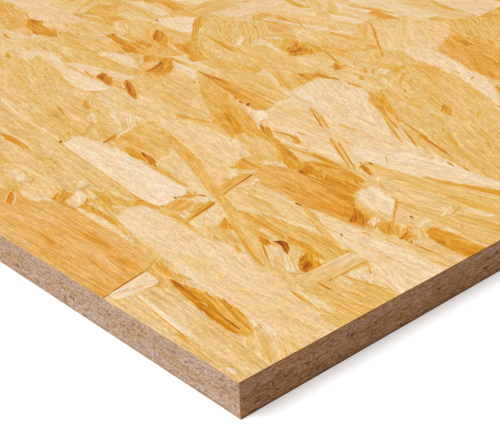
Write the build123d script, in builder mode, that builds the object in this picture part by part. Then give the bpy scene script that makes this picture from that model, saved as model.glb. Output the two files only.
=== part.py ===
"""An oriented strand board panel: one full sheet with square sawn edges, lying flat.

X runs along the panel's length, which is also the way most of its face strands lie.
Y runs along its width, and Z up through its thickness. The origin is the middle of the underside.
"""

import os

from build123d import *

# Driving dimensions, in millimetres: the stock sheet.
panel_length = 2440.0
panel_width = 1220.0
panel_thickness = 18.0

# The saw leaves the arrises sharp, and stacking and handling take this much off them.
face_arris = 0.3
corner_arris = 0.5


# The sheet is pressed and sawn as one piece, so it is one solid.
with BuildPart() as osb_panel:
    with BuildSketch(Plane.XY):
        Rectangle(panel_length, panel_width)
    extrude(amount=panel_thickness)
    upright_corners = osb_panel.edges().filter_by(Axis.Z)
    chamfer(upright_corners, length=corner_arris)
    face_outlines = osb_panel.faces().sort_by(Axis.Z)[0].edges() + osb_panel.faces().sort_by(Axis.Z)[-1].edges()
    chamfer(face_outlines, length=face_arris)

osb_panel.part.label = "osb_panel"

os.makedirs("parts", exist_ok=True)
export_step(osb_panel.part, "parts/osb_panel.step")
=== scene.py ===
"""The looks of an oriented strand board panel: a sheet of pressed wood strands with four sawn edges.

The two faces are thin wooden strands, each a flat plate with its own outline, grain and colour. They lie over
each other on a core, whose four sides are the sawn edges, with the relief that the saw leaves.
"""

import math

import bpy
import numpy as np
from mathutils import Matrix, Vector
from mathutils.geometry import tessellate_polygon


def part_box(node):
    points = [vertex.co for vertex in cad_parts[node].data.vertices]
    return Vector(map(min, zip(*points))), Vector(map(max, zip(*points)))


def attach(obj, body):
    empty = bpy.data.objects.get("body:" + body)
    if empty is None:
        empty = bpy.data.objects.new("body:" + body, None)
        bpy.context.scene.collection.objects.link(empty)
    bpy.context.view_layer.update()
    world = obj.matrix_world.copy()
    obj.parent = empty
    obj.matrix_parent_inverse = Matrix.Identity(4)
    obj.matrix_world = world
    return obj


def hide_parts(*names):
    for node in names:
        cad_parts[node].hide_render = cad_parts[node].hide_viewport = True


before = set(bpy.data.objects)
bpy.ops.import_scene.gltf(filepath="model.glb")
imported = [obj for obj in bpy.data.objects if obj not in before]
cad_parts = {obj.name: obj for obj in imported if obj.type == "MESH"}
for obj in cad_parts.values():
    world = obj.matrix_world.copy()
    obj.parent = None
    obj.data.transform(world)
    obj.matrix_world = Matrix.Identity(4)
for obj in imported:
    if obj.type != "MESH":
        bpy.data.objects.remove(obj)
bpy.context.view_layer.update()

MM = 0.001
BODY = "root"
NODE = "osb_panel"

low, high = (np.array(corner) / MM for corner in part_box(NODE))
THICKNESS = high[2] - low[2]

# Sizes in millimetres, as all others here unless a comment says otherwise.
CORE_COVER = 0.6        # depth of the strands over the core, on each face
CORE_SINK = 0.15        # how far the strands' undersides lie inside the core
LEVEL_STEP = 0.0035     # from one strand's top to that of the strand under it, on the upper face
UNDERSIDE_STEP = 0.0012
DEEPEST_LEVEL = 130
CRISP_RIM = 0.35        # the border over which a strand's tone goes over to what lies under it
SOFT_RIM = 7.0
RIM_DROP_SHARE = 0.4    # of the step between levels
BORDER_STEP = 0.001     # how much further in from the sawn edge each lower strand is cut
BORDER_RIM = 0.12       # from the cut to the strand's inner ring, where the saw leaves no rim of its own
CELL = 2.0              # of the raster that says which strand lies on top
MARGIN = 24.0           # of the raster, round the sheet
NEAR_REACH = (600, 520)  # the listed strands' part of the sheet, back from and in from the near corner
RANDOM_STRANDS = 5000
STREWN_BEYOND = 20.0    # how far off the sheet a random strand's middle may lie
FILLING_WIDTH = 26.0    # of the strands that close what the strewn ones leave open
LEAST_SHARE = 0.18      # of a random strand that has to show
LEAST_AREA = 1.0        # square mm of a strand that the saw leaves on the sheet
OUTLINE_POINTS = 32     # of each listed strand
TONE_SLOPE = 0.04       # spread of how much a strand's tone changes from its middle to its ends
LINE_SPACINGS = (0.9, 2.6)  # how wide apart growth lines lie, from narrow to wide, against each other
TILES = (4, 2)          # each face's pieces, along and across the sheet
FACE_SEED = 41
UNDERSIDE_SEED = 97

# Bounds for divisions and searches: a length next to none, and one beyond the whole sheet.
TINY = 1e-9
FAR = 1e6


def colour(red, green, blue):
    """A colour written as 0 to 255 for the screen, as the linear values that a shader takes. Up to 0.04045
    a part is divided by 12.92, and beyond that it is (part + 0.055) / 1.055 to the power of 2.4."""
    part = np.array((red, green, blue)) / 255
    linear = np.where(part <= 0.04045, part / 12.92, ((part + 0.055) / 1.055) ** 2.4)
    return (*linear.tolist(), 1.0)


def lattice_noise(x, y, seed):
    """Random heights from 0 to 1 at the whole-number points of a plane, joined by smooth steps."""
    by_x, by_y, by_seed, scatter = 127.1, 311.7, 74.7, 43758.5453
    cell_x, cell_y = np.floor(x), np.floor(y)
    step_x, step_y = x - cell_x, y - cell_y
    step_x, step_y = (step * step * (3 - 2 * step) for step in (step_x, step_y))

    def knot(i, j):
        """The decimals of a large multiple of the sine of i, j and the seed, each times a number."""
        return np.modf(np.abs(np.sin(i * by_x + j * by_y + seed * by_seed) * scatter))[0]

    near = knot(cell_x, cell_y) * (1 - step_x) + knot(cell_x + 1, cell_y) * step_x
    far = knot(cell_x, cell_y + 1) * (1 - step_x) + knot(cell_x + 1, cell_y + 1) * step_x
    return near * (1 - step_y) + far * step_y


def turned(points, degrees):
    """Points of the plane turned about its origin: x' = x cos - y sin, y' = x sin + y cos."""
    c, s = np.cos(np.radians(degrees)), np.sin(np.radians(degrees))
    x, y = points[..., 0], points[..., 1]
    return np.stack([x * c - y * s, x * s + y * c], -1)


def cross(a, b):
    """Of two vectors of the plane, x of the first times y of the second, less y times x."""
    return a[..., 0] * b[..., 1] - a[..., 1] * b[..., 0]


def make_piece(name, points, face_groups, material, layers, values):
    """One mesh from arrays: points in mm, groups of faces with alike corner counts, maps and values."""
    mesh = bpy.data.meshes.new(name)
    mesh.vertices.add(len(points))
    mesh.vertices.foreach_set("co", (points * MM).astype(np.float32).ravel())
    corners = np.concatenate([faces.ravel() for faces in face_groups])
    sizes = np.concatenate([np.full(len(faces), faces.shape[1]) for faces in face_groups])
    mesh.loops.add(len(corners))
    mesh.loops.foreach_set("vertex_index", corners.astype(np.int32))
    mesh.polygons.add(len(sizes))
    mesh.polygons.foreach_set("loop_start", (np.cumsum(sizes) - sizes).astype(np.int32))
    mesh.polygons.foreach_set("use_smooth", np.zeros(len(sizes), bool))
    mesh.update(calc_edges=True)
    for layer_name, places in layers.items():
        layer = mesh.uv_layers.new(name=layer_name)
        layer.uv.foreach_set("vector", places[corners].astype(np.float32).ravel())
    for value_name, numbers in values.items():
        attribute = mesh.attributes.new(value_name, "FLOAT", "POINT")
        attribute.data.foreach_set("value", numbers.astype(np.float32).ravel())
    mesh.materials.append(material)
    piece = bpy.data.objects.new(name, mesh)
    bpy.context.scene.collection.objects.link(piece)
    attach(piece, BODY)
    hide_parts(NODE)
    return piece


class Net:
    """A node tree with short calls: each call adds one node and gives its output socket."""

    def __init__(self, tree):
        self.tree = tree

    def node(self, kind, **settings):
        """The node itself, with its settings."""
        made = self.tree.nodes.new(kind)
        for key, value in settings.items():
            setattr(made, key, value)
        return made

    def feed(self, socket, value):
        """Links another node's output to a socket, or sets the socket's own value."""
        if isinstance(value, bpy.types.NodeSocket):
            self.tree.links.new(value, socket)
        else:
            socket.default_value = value

    def math(self, operation, a, b=0.0, c=0.0, clamp=False):
        made = self.node("ShaderNodeMath", operation=operation, use_clamp=clamp)
        for socket, value in zip(made.inputs, (a, b, c)):
            self.feed(socket, value)
        return made.outputs[0]

    def times(self, a, b):
        """a times b."""
        return self.math("MULTIPLY", a, b)

    def plus(self, base, amount, factor, clamp=False):
        """The base plus an amount times a factor."""
        return self.math("MULTIPLY_ADD", amount, factor, base, clamp)

    def swing(self, base, amount, depth):
        """The base plus how far an amount from 0 to 1 is from its middle, times a depth."""
        return self.plus(base, self.math("SUBTRACT", amount, 0.5), depth)

    def vector(self, operation, a, b):
        made = self.node("ShaderNodeVectorMath", operation=operation)
        self.feed(made.inputs[0], a)
        self.feed(made.inputs[1], b)
        return made.outputs[0]

    def combine(self, x, y, z=0.0):
        made = self.node("ShaderNodeCombineXYZ")
        for socket, value in zip(made.inputs, (x, y, z)):
            self.feed(socket, value)
        return made.outputs[0]

    def parts(self, vector):
        """A vector's outputs X, Y and Z."""
        made = self.node("ShaderNodeSeparateXYZ")
        self.feed(made.inputs[0], vector)
        return made.outputs

    def noise(self, place, along, across, detail, roughness=0.5, distortion=0.0):
        """Noise that changes so many times a metre along X and across it."""
        made = self.node("ShaderNodeTexNoise")
        self.feed(made.inputs["Vector"], self.vector("MULTIPLY", place, self.combine(along, across, 1.0)))
        self.feed(made.inputs["Scale"], 1.0)
        self.feed(made.inputs["Detail"], detail)
        self.feed(made.inputs["Roughness"], roughness)
        self.feed(made.inputs["Distortion"], distortion)
        return made.outputs["Fac"]

    def spread(self, value, low_in, high_in, low_out=0.0, high_out=1.0):
        """Goes smoothly from one output to the other while the value goes from one bound to the other."""
        made = self.node("ShaderNodeMapRange", interpolation_type="SMOOTHSTEP")
        for socket, number in zip(made.inputs, (value, low_in, high_in, low_out, high_out)):
            self.feed(socket, number)
        return made.outputs[0]

    def mix(self, share, a, b, blend="MIX"):
        made = self.node("ShaderNodeMix", data_type="RGBA", blend_type=blend)
        self.feed(made.inputs["Factor"], share)
        self.feed(made.inputs["A"], a)
        self.feed(made.inputs["B"], b)
        return made.outputs["Result"]

    def ramp(self, value, stops):
        """The colour at a value between stops, each a place from 0 to 1 and a colour."""
        made = self.node("ShaderNodeValToRGB")
        elements = made.color_ramp.elements
        while len(elements) < len(stops):
            elements.new(0.5)
        for element, (place, tint) in zip(elements, stops):
            element.position = place
            element.color = tint
        self.feed(made.inputs[0], value)
        return made.outputs["Color"]

    def bump(self, height, strength, distance):
        """A normal that leans with a height. The distance is in mm."""
        made = self.node("ShaderNodeBump")
        made.inputs["Strength"].default_value = strength
        made.inputs["Distance"].default_value = distance * MM
        self.feed(made.inputs["Height"], height)
        return made.outputs["Normal"]

    def value_of(self, name):
        """One of the mesh's own values."""
        return self.node("ShaderNodeAttribute", attribute_name=name).outputs["Fac"]

    def grain_place(self):
        """Where a point lies along and across its strand's grain or its sawn edge, in metres."""
        return self.node("ShaderNodeUVMap", uv_map="grain").outputs["UV"]

    def group(self, tree, **inputs):
        made = self.node("ShaderNodeGroup", node_tree=tree)
        for key, value in inputs.items():
            self.feed(made.inputs[key], value)
        return made.outputs


def new_group(name, inputs, outputs, kind="NodeSocketFloat"):
    """An empty shader node group with named sockets. Gives its tree, net, inputs and outputs."""
    tree = bpy.data.node_groups.new(name, "ShaderNodeTree")
    for socket, input_kind, value in inputs:
        made = tree.interface.new_socket(socket, in_out="INPUT", socket_type=input_kind)
        if value is not None:
            made.default_value = value
    for socket in outputs:
        tree.interface.new_socket(socket, in_out="OUTPUT", socket_type=kind)
    net = Net(tree)
    source = net.node("NodeGroupInput").outputs
    target = net.node("NodeGroupOutput").inputs
    return tree, net, source, target


def new_material(name):
    """A material with its net and its own shader node."""
    material = bpy.data.materials.new(name)
    material.use_nodes = True
    return material, Net(material.node_tree), material.node_tree.nodes["Principled BSDF"]


# The noises of wood. For each: how often it changes in a metre along and across the grain, its detail,
# roughness and distortion, and then the two levels of it that count as 0 and 1.
GRAIN_NOISES = {
    "Streaks": ((42.0, 330.0, 4.0, 0.62, 0.5), (0.30, 0.70)),
    "Ripple": ((150.0, 620.0, 2.0, 0.6, 0.0), (0.30, 0.70)),
    "Fringe": ((60.0, 520.0, 3.0, 0.6, 0.0), (0.30, 0.70)),
    "Mottle": ((620.0, 1250.0, 2.0, 0.7, 0.0), (0.28, 0.72)),
    "Fibres": ((70.0, 2300.0, 3.0, 0.65, 0.0), (0.25, 0.75)),
    "Stain": ((26.0, 130.0, 3.0, 0.6, 0.4), (0.46, 0.70)),
    "Specks": ((260.0, 800.0, 1.0, 0.5, 0.0), (0.76, 0.84)),
}
BEND_NOISE = (14.0, 40.0, 1.0)
DRIFT_NOISE = (22.0, 160.0, 2.0)
BROAD_NOISE = (16.0, 85.0, 3.0)
FLUSH_NOISE = (55.0, 210.0, 3.0, 0.6)
SAWN_NOISES = {
    "Streaks": ((160.0, 1250.0, 3.0, 0.65, 0.3), (0.30, 0.70)),
    "Flecks": ((560.0, 1800.0, 2.0, 0.7, 0.0), (0.28, 0.72)),
    "Pits": ((330.0, 1100.0, 1.0, 0.5, 0.0), (0.66, 0.76)),
    "Patches": ((26.0, 160.0, 2.0, 0.5, 0.0), (0.35, 0.65)),
    "Blooms": ((260.0, 700.0, 2.0, 0.6, 0.0), (0.30, 0.70)),
}


def wood_grain_group():
    """Growth lines, fibres, resin stains and specks of one strand, along X of the place that it is given.
    The place is shifted by the seed and bent a little. Lines are the sum of a noise and a sine across it."""
    tree, net, given, made = new_group(
        "wood_grain",
        [("Place", "NodeSocketVector", None), ("Seed", "NodeSocketFloat", 0.0),
         ("Spacing", "NodeSocketFloat", 1.4)],
        ["Lines", *GRAIN_NOISES],
    )
    shift_by_seed, bend_width = (9.1, 5.3, 31.7), 0.010
    lines_by_spacing, lines_along, lines_detail, lines_roughness = 900.0, 7.0, 1.5, 0.6
    lines_from, lines_to = 0.40, 0.68
    turns_by_line, drift_turns = 5.6, 9.0
    lines_share, rings_share = 0.55, 0.40

    shift = net.combine(*(net.times(given["Seed"], length) for length in shift_by_seed))
    place = net.vector("ADD", given["Place"], shift)
    bend = net.swing(0.0, net.noise(place, *BEND_NOISE), bend_width)
    place = net.vector("ADD", place, net.combine(0.0, bend))
    across = net.math("DIVIDE", lines_by_spacing, given["Spacing"])
    lines = net.noise(place, lines_along, across, lines_detail, lines_roughness)
    lines = net.spread(lines, lines_from, lines_to)
    drift = net.times(net.noise(place, *DRIFT_NOISE), drift_turns)
    turn = net.plus(drift, net.parts(place)["Y"], net.times(across, turns_by_line))
    rings = net.plus(0.5, net.math("SINE", turn), 0.5)
    net.feed(made["Lines"], net.plus(net.times(rings, rings_share), lines, lines_share))
    for name, (field, levels) in GRAIN_NOISES.items():
        net.feed(made[name], net.spread(net.noise(place, *field), *levels))
    return tree


def timber_tone_group():
    """The colour of pressed softwood, from cream sapwood at 0 through tan and amber to dark resin at 1."""
    tree, net, given, made = new_group(
        "timber_tone",
        [("Tone", "NodeSocketFloat", 0.5), ("Blush", "NodeSocketFloat", 0.0)],
        ["Color"], "NodeSocketColor",
    )
    tint = net.ramp(given["Tone"], (
        (0.00, colour(254, 241, 216)),
        (0.18, colour(250, 226, 184)),
        (0.36, colour(245, 211, 151)),
        (0.52, colour(240, 195, 105)),
        (0.66, colour(234, 173, 52)),
        (0.80, colour(220, 146, 14)),
        (0.92, colour(190, 102, 6)),
        (1.00, colour(136, 66, 8)),
    ))
    net.feed(made["Color"], net.mix(given["Blush"], tint, colour(255, 239, 232), blend="MULTIPLY"))
    return tree


def sawn_flecks_group():
    """The ends and sides of strands on a sawn edge: streaks, fine flecks and pits, along X of its place."""
    tree, net, given, made = new_group("sawn_flecks", [("Place", "NodeSocketVector", None)], SAWN_NOISES)
    for name, (field, levels) in SAWN_NOISES.items():
        net.feed(made[name], net.spread(net.noise(given["Place"], *field), *levels))
    return tree


def strand_tone(net, place, grain, own, fade, figure):
    """A strand's tone over its face. Over its rim it fades from its own to the one under it, in a fringe.
    To that come lines, streaks, fibres, stain and a broad figure, each times its depth."""
    lines_depth, streaks_depth, stain_depth, broad_depth = 0.22, 0.12, 0.30, 0.36
    least_fibres, fibres_by_figure = 0.035, 0.055
    tone = net.plus(net.times(net.value_of("tone"), own), fade, net.value_of("under"))
    tone = net.plus(tone, net.times(grain["Lines"], figure), lines_depth)
    tone = net.swing(tone, grain["Streaks"], streaks_depth)
    tone = net.swing(tone, grain["Fibres"], net.plus(least_fibres, figure, fibres_by_figure))
    stain = net.times(net.times(grain["Stain"], net.value_of("stain")), own)
    tone = net.plus(tone, stain, stain_depth)
    return net.swing(tone, net.noise(place, *BROAD_NOISE), broad_depth)


def strand_shade(net, grain, figure):
    """A strand's lightness: a start less fibres, ripple, streaks and lines by their depths, times mottle."""
    lightest, mottle_from, mottle_to = 1.16, 0.875, 1.085
    fibres_depth, ripple_depth, streaks_depth, lines_depth = 0.08, 0.19, 0.07, 0.12
    shade = net.plus(lightest, grain["Fibres"], -fibres_depth)
    shade = net.plus(shade, grain["Ripple"], -ripple_depth)
    shade = net.plus(shade, grain["Streaks"], -streaks_depth)
    shade = net.plus(shade, net.times(grain["Lines"], figure), -lines_depth)
    shade = net.times(shade, net.spread(grain["Mottle"], 0.0, 1.0, mottle_from, mottle_to))
    return net.combine(shade, shade, shade)


def strand_material(grain_group, tone_group):
    """Pressed strands: each one's tone with its grain and specks, and the colour of its sawn sides."""
    material, net, shader = new_material("pressed_strands")
    fringe_width, fade_width = 0.6, 0.4
    specks_share, most_flush, flush_levels = 0.7, 0.55, (0.35, 0.65)
    upright_from, upright_to = 0.6, 0.3
    least_rough, most_rough, lines_height = 0.46, 0.62, -0.5
    specks, sawn_side, sawn_end = colour(112, 70, 30), colour(198, 162, 128), colour(158, 108, 58)

    place = net.grain_place()
    grain = net.group(grain_group, Place=place, Seed=net.value_of("seed"), Spacing=net.value_of("spacing"))
    start = net.times(grain["Fringe"], fringe_width)
    fade = net.spread(net.value_of("rim"), start, net.math("ADD", start, fade_width))
    fade = net.times(fade, net.value_of("soft"))
    own = net.math("SUBTRACT", 1.0, fade)
    figure = net.times(net.value_of("figure"), own)
    tone = strand_tone(net, place, grain, own, fade, figure)
    flush = net.spread(net.noise(place, *FLUSH_NOISE), *flush_levels, 0.0, most_flush)
    blush = net.plus(flush, net.value_of("blush"), own, clamp=True)
    timber = net.group(tone_group, Tone=tone, Blush=blush)["Color"]
    timber = net.mix(net.times(grain["Specks"], specks_share), timber, specks)
    normal = net.parts(net.node("ShaderNodeNewGeometry").outputs["True Normal"])
    side = net.spread(net.math("ABSOLUTE", normal["Z"]), upright_from, upright_to)
    timber = net.mix(side, timber, net.mix(net.math("ABSOLUTE", normal["X"]), sawn_side, sawn_end))
    timber = net.mix(1.0, timber, strand_shade(net, grain, figure), blend="MULTIPLY")
    net.feed(shader.inputs["Base Color"], timber)
    net.feed(shader.inputs["Roughness"], net.spread(grain["Fibres"], 0.0, 1.0, least_rough, most_rough))
    relief = net.plus(grain["Fibres"], grain["Lines"], lines_height)
    net.feed(shader.inputs["Normal"], net.bump(relief, strength=0.35, distance=0.2))
    shader.inputs["Specular IOR Level"].default_value = 0.14
    return material


def sawn_material(flecks_group):
    """Sawn edges: greyish on the long sides, where strands are cut along, and browner on their ends.
    Their pits and open hollows are darkened with painted shade.
    """
    material, net, shader = new_material("sawn_edges")
    mauve_share, pit_shade_share = 0.38, 0.75
    mark_levels, mark_shares = (0.1, 0.9), (0.9, 0.35)
    # Over the ground go, in order: a noise, two levels of it, the colour's share at each and the colour.
    washes = [
        ("Blooms", (0.0, 0.4), (0.35, 0.0), colour(186, 164, 158)),
        ("Blooms", (0.6, 1.0), (0.0, 0.35), colour(196, 152, 100)),
        ("Streaks", (0.0, 0.5), (0.56, 0.0), colour(104, 64, 32)),
        ("Streaks", (0.6, 1.0), (0.0, 0.56), colour(228, 196, 170)),
        ("Flecks", (0.0, 1.0), (0.62, 0.0), colour(100, 68, 42)),
    ]
    noises = net.group(flecks_group, Place=net.grain_place())
    grey = net.mix(noises["Patches"], colour(228, 198, 176), colour(220, 180, 138))
    brown = net.mix(noises["Patches"], colour(218, 158, 104), colour(200, 134, 76))
    tint = net.mix(net.value_of("end_grain"), grey, brown)
    tint = net.mix(net.times(net.value_of("mauve"), mauve_share), tint, colour(204, 168, 160))
    for name, levels, shares, wash in washes:
        tint = net.mix(net.spread(noises[name], *levels, *shares), tint, wash)
    # Pits, where the core is sunk, and the specks of the Pits noise in open layers are darkened: painted
    # shade in these hollows.
    pit = net.math("MAXIMUM", net.value_of("pit"), net.times(noises["Pits"], net.value_of("open")))
    tint = net.mix(net.times(pit, pit_shade_share), tint, colour(66, 38, 22))
    broken = net.spread(noises["Flecks"], *mark_levels, *mark_shares)
    tint = net.mix(net.times(net.value_of("mark"), broken), tint, colour(112, 66, 22))
    net.feed(shader.inputs["Base Color"], tint)
    shader.inputs["Roughness"].default_value = 0.75
    shader.inputs["Specular IOR Level"].default_value = 0.2
    relief = net.math("ADD", noises["Streaks"], noises["Flecks"])
    net.feed(shader.inputs["Normal"], net.bump(relief, strength=0.5, distance=0.3))
    return material


# Some tones of pressed softwood. They run from pale sapwood at 0 to dark resin at 1.
WHITE, CREAM, PALE, TAN, BROWN = 0.08, 0.16, 0.27, 0.40, 0.92


def strand(tone, angle, figure, soft, corners, stain=0.15, blush=0.2):
    """A strand by its outline's corners, each as mm back along the long edge and in along the short one.
    Its grain runs at an angle to the long edge, in degrees, and the rest are shares: how strong its growth
    lines are, how soft its rim is, and how much resin and pink it has."""
    return corners, (angle, tone, figure, stain, blush, soft)


def lath(tone, back_a, in_a, back_b, in_b, width, soft=0.4, figure=0.3):
    """A straight strip from A to B that narrows to a point at both ends."""
    stain, blush, shoulder_share, shoulder_widths = 0.1, 0.2, 0.25, 2
    run = np.array([back_b - back_a, in_b - in_a], float)
    long = np.hypot(*run)
    run /= long
    side = np.array([run[1], -run[0]]) * width / 2
    a, b = np.array([back_a, in_a]), np.array([back_b, in_b])
    shoulder = run * min(shoulder_share * long, shoulder_widths * width)
    corners = [a, a + shoulder + side, b - shoulder + side, b, b - shoulder - side, a + shoulder - side]
    return corners, (math.degrees(math.atan2(run[1], -run[0])), tone, figure, stain, blush, soft)
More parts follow.
